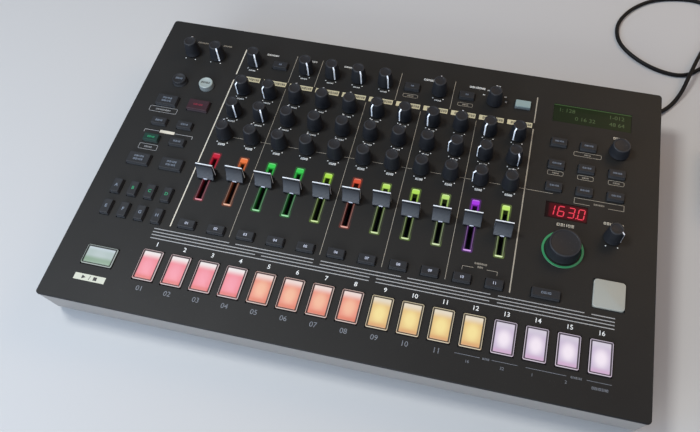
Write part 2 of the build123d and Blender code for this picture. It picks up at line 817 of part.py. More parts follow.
def relief_profile(length, thick):
    """Half outline of a strain relief with collars, tapering along +X."""
    thin = cord_diameter / 2 + collar_groove
    points = [(0, 0), (0, thick)]
    for i in range(relief_collars):
        start = length * (i + 0.35) / relief_collars
        end = length * (i + 0.75) / relief_collars
        here = thick + (thin - thick) * (i + 0.5) / relief_collars
        points += [(start, here), (start, here - collar_groove), (end, here - collar_groove), (end, here)]
    points += [(length, thin), (length, 0)]
    return make_face(Polyline(*points, close=True))


def make_dc_plug():
    """Right-angle plug: hollow barrel into the inlet, round head and a relief towards +X."""
    reach = cord_route[0][0] - dc_place
    axis_y = cord_route[0][1]
    head_depth = 2 * (axis_y - rear_wall)
    lie = Rot(90, 0, 0)
    head = Pos(dc_place, axis_y, dc_axis_height) * lie * Cylinder(plug_head_radius, head_depth)
    head = fillet(head.edges().sort_by(Axis.Y)[-1], plug_head_edge)
    middle = Pos(dc_place, rear_wall - plug_barrel_length / 2, dc_axis_height)
    barrel = middle * lie * Cylinder(plug_barrel_radius, plug_barrel_length)
    bore = middle * lie * Cylinder(dc_pin_radius + plug_bore_gap, plug_barrel_length)
    relief = revolve(relief_profile(reach - relief_start, relief_radius), Axis.X)
    return head + Pos(dc_place + relief_start, axis_y, dc_axis_height) * relief + barrel - bore


def make_power_adapter():
    """Plug-in mains adapter lying beside the coil, with two flat blades."""
    x, relief_end, relief_height = adapter_relief_end
    back = relief_end - adapter_relief_length
    centre = Pos(x, back - adapter_length / 2, adapter_height / 2)
    body = centre * Box(adapter_width, adapter_length, adapter_height)
    body = fillet(body.edges().filter_by(Axis.Y), adapter_corner)
    ends = body.faces().sort_by(Axis.Y)
    body = fillet(ends[0].edges() + ends[-1].edges(), adapter_end)
    relief = revolve(relief_profile(adapter_relief_length, relief_radius), Axis.X)
    relief = Pos(x, back, relief_height) * Rot(0, 0, 90) * relief
    blade = Box(blade_thickness, blade_length, blade_width)
    front = back - adapter_length
    blade = Pos(x, front - blade_length / 2 + 1, adapter_height / 2) * blade
    return body + relief + [Pos(side * blade_spacing / 2, 0, 0) * blade for side in (-1, 1)]


parts = {
    "top_panel": make_top_panel,
    "lower_case": make_lower_case,
    "rubber_feet": make_rubber_feet,
    "case_screws": make_case_screws,
    "circuit_boards": make_circuit_boards,
    "rear_sockets": make_rear_sockets,
    "knob_pots": make_knob_pots,
    "channel_knobs": make_channel_knobs,
    "fader_units": make_fader_units,
    "fader_light_guides": make_fader_light_guides,
    "displays": make_displays,
    "tempo_ring": make_tempo_ring,
    "power_switch": make_power_switch,
    "instrument_buttons": lambda: make_button_group(instrument_buttons),
    "function_buttons": lambda: make_button_group(function_buttons, round_buttons),
    "dc_plug": make_dc_plug,
    "power_cord": make_power_cord,
    "power_cord_coil": make_power_cord_coil,
    "power_adapter": make_power_adapter,
    "start_pad": lambda: make_pad(start_pad[:2], *start_pad[2:]),
    "trigger_pad": lambda: make_pad(trigger_pad[:2], *trigger_pad[2:], trigger_corner),
}
for i in range(pad_count):
    parts[f"step_pad_{i + 1:02d}"] = lambda x=pad_places[i]: make_pad((x, pad_row), pad_width, pad_length)
for i in range(channel_count):
    parts[f"fader_cap_{i + 1:02d}"] = lambda i=i: make_fader_cap(i)
for name in main_knobs:
    parts[name] = lambda name=name: make_main_knob(name)

os.makedirs("parts", exist_ok=True)
for name, make in parts.items():
    export_step(make(), f"parts/{name}.step")
print(len(parts), "parts written")
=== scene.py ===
import bpy, bmesh
from math import asin, cos, pi, radians, sin, tan
from mathutils import Matrix, Vector


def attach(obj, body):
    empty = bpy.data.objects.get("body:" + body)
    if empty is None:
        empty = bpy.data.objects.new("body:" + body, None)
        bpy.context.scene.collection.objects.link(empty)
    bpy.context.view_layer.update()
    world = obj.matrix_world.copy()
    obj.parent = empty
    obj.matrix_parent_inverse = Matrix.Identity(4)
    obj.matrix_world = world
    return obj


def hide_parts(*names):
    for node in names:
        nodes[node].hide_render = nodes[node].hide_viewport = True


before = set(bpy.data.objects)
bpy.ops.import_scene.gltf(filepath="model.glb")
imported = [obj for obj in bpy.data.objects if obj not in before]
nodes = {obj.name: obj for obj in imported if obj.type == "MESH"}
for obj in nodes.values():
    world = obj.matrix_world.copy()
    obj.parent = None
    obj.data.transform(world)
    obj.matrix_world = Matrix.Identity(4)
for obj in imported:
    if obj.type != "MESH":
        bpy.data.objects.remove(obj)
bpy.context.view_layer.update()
scene = bpy.context.scene
mm = 0.001

panel = {"width": 409, "depth": 263, "frontHeight": 34.5, "rearHeight": 45}
tilt = asin((panel["rearHeight"] - panel["frontHeight"]) / panel["depth"])
middleHeight = (panel["frontHeight"] + panel["rearHeight"]) / 2
panelFrame = Matrix.Translation((0, 0, middleHeight * mm)) @ Matrix.Rotation(tilt, 4, "X")


def fromEdges(left, rear):
    # a place from the panel's left and rear edges, as x and y about its middle
    return left - panel["width"] / 2, panel["depth"] / 2 - rear


def onPanel(left, rear, height=0, clock=0):
    # clock turns a piece to the right, in degrees
    x, y = fromEdges(left, rear)
    turned = Matrix.Rotation(-radians(clock), 4, "Z")
    return panelFrame @ Matrix.Translation((x * mm, y * mm, height * mm)) @ turned


def colour(r, g, b):
    # screen values from 0 to 255, turned into the linear colour that a shader takes
    def linear(v):
        v /= 255
        return v / 12.92 if v <= 0.04045 else ((v + 0.055) / 1.055) ** 2.4
    return (linear(r), linear(g), linear(b), 1.0)


def newObject(name, data):
    made = bpy.data.objects.new(name, data)
    scene.collection.objects.link(made)
    return made


# Bodies, in millimetres
def vertex(body, x, y, z):
    return body.verts.new((x * mm, y * mm, z * mm))


def circle(body, radius, height, segments, x=0, y=0):
    turns = [2 * pi * i / segments for i in range(segments)]
    return [vertex(body, x + radius * cos(turn), y + radius * sin(turn), height) for turn in turns]


def roundedRing(body, width, length, corner, height, shift=0, steps=4):
    ring = []
    for sideX, sideY, start in ((1, 1, 0), (-1, 1, 90), (-1, -1, 180), (1, -1, 270)):
        for i in range(steps + 1):
            angle = radians(start + 90 * i / steps)
            x = sideX * (width / 2 - corner) + corner * cos(angle)
            y = sideY * (length / 2 - corner) + corner * sin(angle) + shift
            ring.append(vertex(body, x, y, height))
    return ring


def joinRings(body, rings, closed=False):
    for lower, upper in zip(rings, rings[1:] + rings[:1] if closed else rings[1:]):
        for i in range(len(lower)):
            j = (i + 1) % len(lower)
            body.faces.new((lower[i], lower[j], upper[j], upper[i]))


def closeRings(body, rings):
    joinRings(body, rings)
    body.faces.new(rings[0])
    body.faces.new(rings[-1])


def ringLoft(levels):
    # rounded rectangles (width, length, corner, height) joined from the bottom up
    body = bmesh.new()
    closeRings(body, [roundedRing(body, *level) for level in levels])
    return body


def addFrame(body, levels):
    # rounded rectangles joined round a hole
    rings = [roundedRing(body, *level) for level in levels]
    joinRings(body, rings, True)
    return [vert for ring in rings for vert in ring]


def lathe(profile, segments=48):
    # (radius, height) pairs from the bottom's middle to the top's middle, turned about Z
    body = bmesh.new()
    rings = []
    for radius, height in profile:
        rings.append(circle(body, radius, height, segments) if radius else [vertex(body, 0, 0, height)])
    for lower, upper in zip(rings, rings[1:]):
        for i in range(segments):
            j = (i + 1) % segments
            corners = [ring[k % len(ring)] for ring, k in ((lower, i), (lower, j), (upper, j), (upper, i))]
            corners = list(dict.fromkeys(corners))
            if len(corners) > 2:
                body.faces.new(corners)
    return body


def prism(body, outlines):
    # two outlines of (x, y, z) points, joined and closed
    closeRings(body, [[vertex(body, *point) for point in outline] for outline in outlines])


def addBlock(body, low, high):
    (x0, y0, z0), (x1, y1, z1) = low, high
    prism(body, [[(x0, y0, z), (x1, y0, z), (x1, y1, z), (x0, y1, z)] for z in (z0, z1)])


def meshFrom(body, name, finish=None, sharpAngle=32):
    bmesh.ops.recalc_face_normals(body, faces=body.faces)
    for edge in body.edges:
        edge.smooth = len(edge.link_faces) == 2 and edge.calc_face_angle() < radians(sharpAngle)
    for face in body.faces:
        face.smooth = True
    mesh = bpy.data.meshes.new(name)
    body.to_mesh(mesh)
    body.free()
    if finish:
        mesh.materials.append(finish)
    return mesh


def frameMesh(name, levels, finish, sharpAngle):
    body = bmesh.new()
    addFrame(body, levels)
    return meshFrom(body, name, finish, sharpAngle)


def place(name, mesh, matrix, body="base", stands=()):
    piece = newObject(name, mesh)
    piece.matrix_world = matrix
    bpy.context.view_layer.update()
    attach(piece, body)
    if stands:
        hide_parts(*stands)
    return piece


def standIn(node, name, mesh, left, rear, slot, body=None, clock=0):
    # a piece on the panel that stands for a node, on the body of the same name unless told
    place(name, mesh, onPanel(left, rear, 0, clock), body or node, [node])


# Camera
print("camera")
viewpoint = {
    "place": (0.076979, -0.292171, 0.466679),
    "right": (0.974654, 0.223419, -0.011553),
    "up": (-0.180201, 0.814622, 0.551288),
    "lens": 36.646,
    "shift": (-0.04025, -0.00972),
}
cameraData = bpy.data.cameras.new("camera")
cameraData.lens = viewpoint["lens"]
cameraData.sensor_width = 36
cameraData.sensor_fit = "HORIZONTAL"
cameraData.shift_x, cameraData.shift_y = viewpoint["shift"]
cameraData.clip_start = 0.02
camera = newObject("camera", cameraData)
right = Vector(viewpoint["right"]).normalized()
up = Vector(viewpoint["up"])
up = (up - right * up.dot(right)).normalized()
axes = Matrix((right, up, right.cross(up))).transposed().to_4x4()
camera.matrix_world = Matrix.Translation(viewpoint["place"]) @ axes
scene.camera = camera
scene.view_settings.view_transform = "Standard"

# Lead
print("lead")
lead = {
    "diameter": 3.5,
    "route": [
        (174, 135.5, 21), (186.5, 135.5, 21), (199.8, 140.6, 13), (210.2, 149, 4.6), (220, 158.2, 1.75),
        (227.7, 168.8, 1.75), (233.5, 180.4, 4.8), (238.3, 196.2, 8.9), (244.8, 216.6, 8.9),
        (252, 236.6, 5.2), (260, 253, 1.75), (267, 267.5, 1.75), (269.6, 281, 1.75), (266.4, 293.8, 1.75),
        (258, 302.8, 1.75), (246, 306.6, 1.75), (230.5, 305.2, 1.75), (214.5, 301.2, 1.75),
        (199.5, 293, 1.75), (184.3, 277, 1.75), (174.8, 256, 1.75), (177.2, 233.2, 1.75),
        (193, 215.2, 1.75), (215, 203.2, 1.75), (237, 201.6, 1.75), (252.6, 217, 1.75),
    ],
    "tail": [
        (289.67, 179.69, 5.25), (281.54, 171.56, 5.25), (277.2, 160, 4.4), (276.8, 148.5, 6.5),
        (276.8, 138.5, 6.5),
    ],
}
coil = {
    "middle": (281.36, 208.51), "start": 134.6, "turns": 7.5, "pointsPerTurn": 16,
    "radii": (26.25, 22.75, 19.25, 15.75, 15.75, 19.25, 22.75, 26.25),
    "heights": (1.75, 5.25), "climb": (3.3, 4.0),
}


def coilPoints():
    # clockwise: inwards along the table, then outwards on top of those turns
    points = []
    low, high = coil["heights"]
    climbFrom, climbTo = coil["climb"]
    for i in range(1, int(coil["turns"] * coil["pointsPerTurn"]) - 1):
        turns = i / coil["pointsPerTurn"]
        ring = int(turns)
        share = turns - ring
        ease = share * share * (3 - 2 * share)
        radius = coil["radii"][ring] + (coil["radii"][min(ring + 1, 7)] - coil["radii"][ring]) * ease
        height = low + (high - low) * min(max((turns - climbFrom) / (climbTo - climbFrom), 0), 1)
        angle = radians(coil["start"] - 360 * turns)
        x = coil["middle"][0] + radius * cos(angle)
        y = coil["middle"][1] + radius * sin(angle)
        points.append((x, y, height))
    return points


leadCurve = bpy.data.curves.new("lead", "CURVE")
leadCurve.dimensions = "3D"
leadCurve.resolution_u = 8
leadPoints = lead["route"] + coilPoints() + lead["tail"]
spline = leadCurve.splines.new("NURBS")
spline.points.add(len(leadPoints) - 1)
for point, (x, y, z) in zip(spline.points, leadPoints):
    point.co = (x * mm, y * mm, z * mm, 1)
    point.radius = lead["diameter"] / 2 * mm
spline.order_u = 3
spline.use_endpoint_u = True
leadCurve.bevel_depth = 1.0
leadCurve.bevel_resolution = 6
leadPiece = place("lead", leadCurve, Matrix.Identity(4), "base", ("power_cord", "power_cord_coil"))

# Shader helpers: a socket knows its own tree, and a colour is a socket or three screen values
print("finishes")


def isSocket(value):
    return isinstance(value, bpy.types.NodeSocket)


def addNode(tree, kind, inputs=None, **settings):
    made = tree.nodes.new("ShaderNode" + kind)
    for key, value in settings.items():
        setattr(made, key, value)
    for key, value in (inputs or {}).items():
        if isSocket(value):
            tree.links.new(value, made.inputs[key])
        else:
            made.inputs[key].default_value = value
    return made


def treeOf(*values):
    return next(value.id_data for value in values if isSocket(value))


def calc(operation, a, b=0.0, clamp=False):
    return addNode(treeOf(a, b), "Math", {0: a, 1: b}, operation=operation, use_clamp=clamp).outputs[0]


def times(first, *others):
    for other in others:
        first = calc("MULTIPLY", first, other)
    return first


def larger(a, b):
    return calc("MAXIMUM", a, b)


def mixColour(share, a, b):
    a, b = (colour(*v) if isinstance(v, tuple) and len(v) == 3 else v for v in (a, b))
    return addNode(treeOf(share, a, b), "Mix", {0: share, 6: a, 7: b}, data_type="RGBA").outputs[2]


def between(share, a, b):
    # a fixed colour between two screen colours
    return tuple(p + (q - p) * share for p, q in zip(colour(*a), colour(*b)))


def rise(value, start, end):
    # 0 at start, 1 at end, eased between them
    inputs = {"Value": value, "From Min": start, "From Max": end}
    return addNode(value.id_data, "MapRange", inputs, interpolation_type="SMOOTHSTEP").outputs[0]


def within(value, low, high, soft):
    # 1 between low and high, fading over soft outside them
    return times(rise(value, low - soft, low), rise(value, high + soft, high))


def lengthOf(x, y):
    flat = addNode(treeOf(x, y), "CombineXYZ", {0: x, 1: y}).outputs[0]
    return addNode(flat.id_data, "VectorMath", {0: flat}, operation="LENGTH").outputs["Value"]


def localPlace(tree):
    # the piece's own x, y and z, in millimetres
    coordinates = addNode(tree, "TexCoord").outputs["Object"]
    scaled = addNode(tree, "VectorMath", {0: coordinates, 3: 1000.0}, operation="SCALE").outputs[0]
    return list(addNode(tree, "SeparateXYZ", {0: scaled}).outputs)


def noise(coordinates, scale, detail):
    inputs = {"Vector": coordinates, "Scale": scale, "Detail": detail}
    return addNode(coordinates.id_data, "TexNoise", inputs).outputs["Fac"]


def newGroup(name, inputs, outputs):
    tree = bpy.data.node_groups.new(name, "ShaderNodeTree")
    for label, value in inputs.items():
        kind = "NodeSocketColor" if isinstance(value, tuple) else "NodeSocketFloat"
        tree.interface.new_socket(name=label, in_out="INPUT", socket_type=kind).default_value = value
    for label, kind in outputs.items():
        tree.interface.new_socket(name=label, in_out="OUTPUT", socket_type="NodeSocket" + kind)
    coordinates = addNode(tree, "TexCoord").outputs["Object"]
    return tree, tree.nodes.new("NodeGroupInput").outputs, tree.nodes.new("NodeGroupOutput").inputs, coordinates


# Moulded or sprayed grain: colour and roughness that drift, and a height for the bump
fineGrain, given, out, coordinates = newGroup("fineGrain", {
    "Base": (0.5, 0.5, 0.5, 1.0), "Grain Size": 0.4, "Color Drift": 0.1, "Roughness": 0.5, "Roughness Drift": 0.1,
}, {"Color": "Color", "Roughness": "Float", "Height": "Float"})
fine = noise(coordinates, calc("DIVIDE", 1000.0, given["Grain Size"]), 3)
broad = noise(coordinates, 38, 4)
centred = calc("SUBTRACT", calc("ADD", fine, broad), 1.0)
value = calc("ADD", times(centred, given["Color Drift"]), 1.0)
tint = addNode(fineGrain, "HueSaturation", {"Color": given["Base"], "Value": value})
drift = times(calc("SUBTRACT", broad, 0.5), given["Roughness Drift"])
fineGrain.links.new(tint.outputs["Color"], out["Color"])
fineGrain.links.new(calc("ADD", given["Roughness"], drift, clamp=True), out["Roughness"])
fineGrain.links.new(fine, out["Height"])

# Rubbed edges: a mask that is 1 where the surface turns a corner, broken up by noise
rubbedEdge, given, out, coordinates = newGroup("rubbedEdge", {"Width": 0.3, "Strength": 1.0}, {"Mask": "Float"})
rounded = addNode(rubbedEdge, "Bevel", {"Radius": times(given["Width"], mm)}, samples=4).outputs["Normal"]
flatNormal = addNode(rubbedEdge, "NewGeometry").outputs["Normal"]
facing = addNode(rubbedEdge, "VectorMath", {0: rounded, 1: flatNormal}, operation="DOT_PRODUCT").outputs["Value"]
corner = calc("MULTIPLY", calc("SUBTRACT", 1.0, facing), 5.0, clamp=True)
broken = calc("ADD", times(rise(noise(coordinates, 420, 3), 0.35, 0.6), 0.5), 0.5)
rubbedEdge.links.new(times(corner, broken, given["Strength"]), out["Mask"])

# Dust: sparse specks and a thin film on surfaces that face up
settledDust, given, out, coordinates = newGroup("settledDust", {"Specks": 0.3, "Film": 0.05}, {"Mask": "Float"})
normal = addNode(settledDust, "NewGeometry").outputs["Normal"]
upward = rise(addNode(settledDust, "SeparateXYZ", {0: normal}).outputs[2], 0.6, 0.95)
specks = times(rise(noise(coordinates, 900, 1), 0.7, 0.78), given["Specks"])
film = times(rise(noise(coordinates, 22, 4), 0.4, 0.75), given["Film"])
settledDust.links.new(times(calc("ADD", specks, film), upward), out["Mask"])


def surface(name, look, paint=None):
    # a whole finish: grain, rubbed edges, dust and bump, with paint for marks of the piece's own and for painted
    # light and shade
    made = bpy.data.materials.new(name)
    made.use_nodes = True
    tree = made.node_tree
    shader = tree.nodes["Principled BSDF"].inputs
    grain = addNode(tree, "Group", {
        "Base": colour(*look["base"]), "Grain Size": look.get("grain", 0.4), "Color Drift": look.get("drift", 0.12),
        "Roughness": look.get("roughness", 0.5), "Roughness Drift": look.get("roughDrift", 0.12),
    }, node_tree=fineGrain).outputs
    shown = grain["Color"]
    if "worn" in look:
        # worn says the bare colour, the width of the edge in millimetres and the strength
        worn, width, strength = look["worn"]
        rubbed = addNode(tree, "Group", {"Width": width, "Strength": strength}, node_tree=rubbedEdge)
        shown = mixColour(rubbed.outputs["Mask"], shown, worn)
    if paint:
        shown = paint(shown, *localPlace(tree))
    if "dust" in look:
        specks, film = look["dust"]
        dust = addNode(tree, "Group", {"Specks": specks, "Film": film}, node_tree=settledDust)
        shown = mixColour(dust.outputs["Mask"], shown, (150, 148, 142))
    bump = addNode(tree, "Bump", {"Height": grain["Height"], "Strength": look.get("bump", 0.2), "Distance": 0.0001})
    tree.links.new(shown, shader["Base Color"])
    tree.links.new(grain["Roughness"], shader["Roughness"])
    tree.links.new(bump.outputs["Normal"], shader["Normal"])
    shader["Metallic"].default_value = look.get("metallic", 0)
    shader["Specular IOR Level"].default_value = look.get("specular", 0.5)
    return made


def glowing(name, look, glow, strength=1.0):
    # lit plastic, and painted light on the panel: glow is one screen colour, or gives the colour over the piece
    made = surface(name, look)
    shader = made.node_tree.nodes["Principled BSDF"].inputs
    if callable(glow):
        made.node_tree.links.new(glow(*localPlace(made.node_tree)), shader["Emission Color"])
    else:
        shader["Emission Color"].default_value = colour(*glow)
    shader["Emission Strength"].default_value = strength
    return made


# Finishes of the CAD nodes that stay
def panelEdgeShade(shown, x, y, z):
    # painted shade: the cut edges and the walls of the openings, which don't face up, are painted darker than the
    # face
    normal = addNode(x.id_data, "NewGeometry").outputs["True Normal"]
    facing = addNode(x.id_data, "SeparateXYZ", {0: normal}).outputs[2]
    return mixColour(rise(facing, 0.97, 0.8), shown, (12, 12, 14))


def adapterPaint(shown, x, y, z):
    # the two blades in front of the housing are bare metal
    return mixColour(rise(y, 62.6, 62.4), shown, (176, 172, 160))


panelLook = {
    "base": (33, 31, 28), "grain": 0.25, "drift": 0.16, "roughDrift": 0.1, "bump": 0.3, "dust": (0.03, 0.005),
    "specular": 0.22,
}
panelPaint = surface("panelPaint", panelLook, panelEdgeShade)
cordJacket = surface("cordJacket", {
    "base": (15, 13, 12), "grain": 0.6, "roughDrift": 0.2, "bump": 0.25, "dust": (0, 0.01), "specular": 0.2,
})
potSteel = surface("potSteel", {"base": (38, 39, 42), "grain": 0.3, "roughness": 0.4, "metallic": 0.6})
nodeFinishes = {
    "top_panel": panelPaint,
    "lower_case": surface("caseGrey", {
        "base": (134, 131, 128), "grain": 0.5, "drift": 0.1, "roughness": 0.55, "bump": 0.3,
        "worn": ((176, 177, 180), 0.3, 0.35), "dust": (0.1, 0.05),
    }),
    "rubber_feet": surface("footRubber", {"base": (30, 30, 31), "grain": 0.8, "roughness": 0.85, "bump": 0.5}),
    "case_screws": surface("screwSteel", {
        "base": (92, 92, 95), "grain": 0.3, "roughness": 0.38, "metallic": 1, "worn": ((180, 178, 172), 0.2, 0.6),
    }),
    "circuit_boards": surface("boardGreen", {"base": (24, 62, 40), "grain": 1.5, "roughness": 0.4, "drift": 0.3}),
    "knob_pots": potSteel,
    "fader_units": potSteel,
    "rear_sockets": surface("socketBlack", {
        "base": (26, 26, 28), "roughness": 0.45, "worn": ((70, 70, 72), 0.2, 0.4),
    }),
    "power_switch": surface("switchBlack", {
        "base": (34, 34, 36), "grain": 0.3, "roughness": 0.35, "worn": ((80, 80, 82), 0.2, 0.4),
    }),
    "dc_plug": surface("plugBlack", {
        "base": (32, 31, 31), "grain": 0.5, "worn": ((74, 73, 72), 0.3, 0.35),
        "dust": (0.05, 0.05),
    }),
    "power_adapter": surface("adapterBlack", {
        "base": (34, 33, 33), "grain": 0.7, "bump": 0.4, "worn": ((74, 73, 72), 0.4, 0.3),
        "dust": (0.1, 0.08),
    }, adapterPaint),
}
for nodeName, finish in nodeFinishes.items():
    nodes[nodeName].data.materials.clear()
    nodes[nodeName].data.materials.append(finish)
leadCurve.materials.append(cordJacket)

# Knobs
print("knobs")
smallKnob = {
    "base": 6.4, "top": 4.9, "height": 13.6, "lift": 0.7, "band": 1.1, "spindle": 3,
    "pointer": {"width": 1.1, "inner": 2.5, "over": 4.5, "reach": 6.3, "slope": 12, "low": 0.6},
}
valueKnob = {"base": 7.6, "top": 6.5, "height": 10, "lift": 0.7, "band": 1.1, "spindle": 3}
tempoKnob = {"base": 12, "top": 10.9, "height": 10.2, "lift": 0.7, "band": 1.1, "spindle": 3}
fixedFoot, turningFoot = -6.5, -11.2


def knobMesh(name, size, foot, finish, segments=48):
    base, top, height, lift = (size[key] for key in ("base", "top", "height", "lift"))
    shoulder = lift + size["band"]
    side = (top - base) / (height - 0.5 - shoulder)
    body = lathe([
        (0, foot), (size["spindle"] - 0.3, foot), (size["spindle"], foot + 0.3), (size["spindle"], lift),
        (base - 0.25, lift), (base, lift + 0.25), (base, shoulder - 0.15), (base - 0.08, shoulder),
        (base + side * 3, shoulder + 3), (top + 0.02, height - 0.62), (top - 0.08, height - 0.3),
        (top - 0.28, height - 0.08), (top - 0.55, height), (top - 1.15, height), (top - 1.4, height - 0.22),
        (top - 1.75, height - 0.3), (0, height - 0.32),
    ], segments)
    if "pointer" in size:
        # a fin whose outer edge stands upright while the body tapers
        fin = size["pointer"]
        outline = [
            (fin["inner"], height - 0.2), (fin["over"], height - 0.1), (fin["reach"], fin["slope"]),
            (fin["reach"], fin["low"]), (fin["inner"], fin["low"]),
        ]
        prism(body, [[(x, y, z) for y, z in outline] for x in (-fin["width"] / 2, fin["width"] / 2)])
    return meshFrom(body, name, finish, 40)


def knobFinish(name, size):
    def paint(shown, x, y, z):
        radius, top, height = lengthOf(x, y), size["top"], size["height"]
        # painted highlight: a lighter ring round the top edge; painted sheen: the top face a little lighter and
        # warmer than the body
        rim = times(within(radius, top - 1, top - 0.1, 0.25), rise(z, height - 0.9, height - 0.3), 0.3)
        shown = mixColour(rim, shown, (62, 60, 58))
        face = times(rise(radius, top - 1.1, top - 1.5), rise(z, height - 0.9, height - 0.5), 0.7)
        shown = mixColour(face, shown, (38, 36, 36))
        if "pointer" in size:
            fin = size["pointer"]
            half = fin["width"] / 2 - 0.03
            line = times(within(x, -half, half, 0.02), rise(y, fin["over"] - 0.2, fin["over"]))
            shown = mixColour(times(line, rise(z, fin["low"] + 0.05, fin["low"] + 0.25)), shown, (248, 250, 252))
        return shown
    return surface(name, {
        "base": (32, 33, 36), "grain": 0.3, "drift": 0.15, "roughness": 0.46, "roughDrift": 0.1, "bump": 0.12,
        "dust": (0.12, 0.01), "specular": 0.25,
    }, paint)


knobBlack = knobFinish("knobBlack", smallKnob)
fixedKnobMesh = knobMesh("channelKnob", smallKnob, fixedFoot, knobBlack)
turningKnobMesh = knobMesh("smallKnob", smallKnob, turningFoot, knobBlack)
valueKnobMesh = knobMesh("valueKnob", valueKnob, turningFoot, knobFinish("valueBlack", valueKnob), 64)
tempoKnobMesh = knobMesh("tempoKnob", tempoKnob, turningFoot, knobFinish("tempoBlack", tempoKnob), 80)
channels = [83.1 + 22 * i for i in range(11)]
knobRows = {
    "tuneKnob": (63, [-150, -150, 0, 0, 0, -150, -150, -150, 0, -150, -150]),
    "decayKnob": (85.9, [150, 150, 0, 0, 0, 0, 0, 0, -120, -120, 150]),
    "controlKnob": (108.8, [0, 0, 0, 0, 0, 0, 0, 0, 0, -120, 0]),
}
for label, (rear, clocks) in knobRows.items():
    for i, clock in enumerate(clocks):
        standIn("channel_knobs", f"{label}{i + 1:02d}", fixedKnobMesh, channels[i], rear, "knob", "base", clock)
tempoPlace = (345.5, 154.2)
topKnobs = {
    "volume_knob": (28.6, 32.4, 0), "input_knob": (50.4, 32.4, 150), "accent_knob": (82.8, 32.4, 150),
    "reverb_knob": (126.9, 32.4, 150), "delay_level_knob": (149, 32.4, 150), "delay_time_knob": (171, 32.4, 150),
    "delay_feedback_knob": (193, 32.4, 150), "master_knob": (237, 32.4, 0), "fill_knob": (281, 33.4, 0),
    "shuffle_knob": (378.2, 137.9, 120),
}
for node, (left, rear, clock) in topKnobs.items():
    standIn(node, node + "_turned", turningKnobMesh, left, rear, "knob", clock=clock)
standIn("value_knob", "value_knob_turned", valueKnobMesh, 378.8, 63.2, "knob")
standIn("tempo_knob", "tempo_knob_turned", tempoKnobMesh, *tempoPlace, "knob")

# Faders
print("faders")
faderCap = {
    "width": 13, "length": 9.2, "ridge": 2.4, "lift": 1.3, "height": 14.8, "sag": 0.6, "skirt": 1.2, "crest": 0.8,
    "leverWidth": 1.2, "leverLength": 4, "foot": -10.6, "round": 0.3, "ribs": 10, "ribDepth": 0.2,
    "places": [147.6, 145.3, 145.3, 146.3, 145.6, 144.8, 143.3, 147.3, 146.8, 145.6, 149.3],
    "paint": {"end": 0.35, "face": (2.75, 13.4), "shade": (13.2, 6.5), "foot": (1.7, 2.6), "line": 0.38},
}


def capMesh(finish):
    half, ridge = faderCap["length"] / 2, faderCap["ridge"] / 2
    low, high = faderCap["lift"], faderCap["height"]
    sideFoot, sideTop = low + faderCap["skirt"], high - faderCap["crest"]
    outline = [(half, low), (half, sideFoot)]
    steps = 2 * faderCap["ribs"]
    for i in range(1, steps):
        share = i / steps
        bow = 4 * share * (1 - share) * faderCap["sag"] + (faderCap["ribDepth"] if i % 2 else 0)
        y, z = half + (ridge - half) * share, sideFoot + (sideTop - sideFoot) * share
        outline.append((y - bow * 0.97, z - bow * 0.24))
    outline += [(ridge, sideTop), (ridge - 0.3, high)]
    outline += [(-y, z) for y, z in reversed(outline)]
    body = bmesh.new()
    prism(body, [[(x, y, z) for y, z in outline] for x in (-faderCap["width"] / 2, faderCap["width"] / 2)])
    bmesh.ops.recalc_face_normals(body, faces=body.faces)
    sharp = [edge for edge in body.edges if edge.calc_face_angle() > radians(30)]
    bmesh.ops.bevel(
        body, geom=sharp, offset=faderCap["round"] * mm, segments=2, profile=0.6, affect="EDGES", clamp_overlap=True)
    wide, long = faderCap["leverWidth"] / 2, faderCap["leverLength"] / 2
    addBlock(body, (-wide, -long, faderCap["foot"]), (wide, long, low + 0.5))
    return meshFrom(body, "faderCap", finish, 25)


def capPaint(shown, x, y, z):
    # grey front and rear faces, dark ends and ridge, and the white line over them; painted shade darkens the faces
    # towards the ridge, and a painted glint sits low in the middle of each face
    spots = faderCap["paint"]
    half, line = faderCap["width"] / 2 - spots["end"], spots["line"]
    # painted shade: the faces darken towards the ridge
    shown = mixColour(rise(z, *spots["shade"]), mixColour(0.5, shown, (36, 38, 42)), shown)
    shown = mixColour(times(within(x, -half, half, 0.06), within(z, *spots["face"], 0.15)), (22, 24, 29), shown)
    # painted glint: a pale spot low in the middle of each face, over the slot
    shown = mixColour(times(within(x, -1.3, 1.3, 0.25), within(z, *spots["foot"], 0.2)), shown, (205, 206, 214))
    shown = mixColour(times(within(y, -line, line, 0.07), rise(z, 2.6, 2.8)), shown, (232, 234, 234))
    return mixColour(rise(z, 1.2, 0.2), shown, (24, 24, 26))


capShape = capMesh(surface("capGrey", {
    "base": (74, 76, 79), "grain": 0.25, "drift": 0.14, "roughness": 0.42, "specular": 0.35,
    "worn": ((120, 122, 124), 0.2, 0.25), "dust": (0.1, 0.02),
}, capPaint))
for i, rear in enumerate(faderCap["places"]):
    node = f"fader_cap_{i + 1:02d}"
    standIn(node, node + "_ridged", capShape, channels[i], rear, "fader_cap")

# Lit guides round the fader slots
faderLight = {
    "width": 5.6, "rear": 126.9, "front": 169.2, "corner": 1.3, "proud": 0.2, "foot": -6, "edge": 0.12,
    "slotWidth": 3.4, "slotRear": 130.8, "slotFront": 168, "slotCorner": 0.5,
    "block": (16.4, 17.6), "rearEdge": (19.8, 20.6), "bar": (-20, -20.3), "rails": (12, -2), "legs": (-2, 15),
    "deep": [3.2, 3.2, 3.2, 3.2, 1, 1, 1, 1, 1, 3.2, 1],
    "colours": [
        (196, 16, 48), (236, 118, 58), (52, 205, 78), (52, 205, 78), (172, 226, 70), (216, 78, 48),
        (182, 226, 96), (180, 226, 90), (186, 224, 118), (168, 54, 228), (196, 236, 112),
    ],
}
guideLength = faderLight["front"] - faderLight["rear"]
guideMiddle = (faderLight["front"] + faderLight["rear"]) / 2


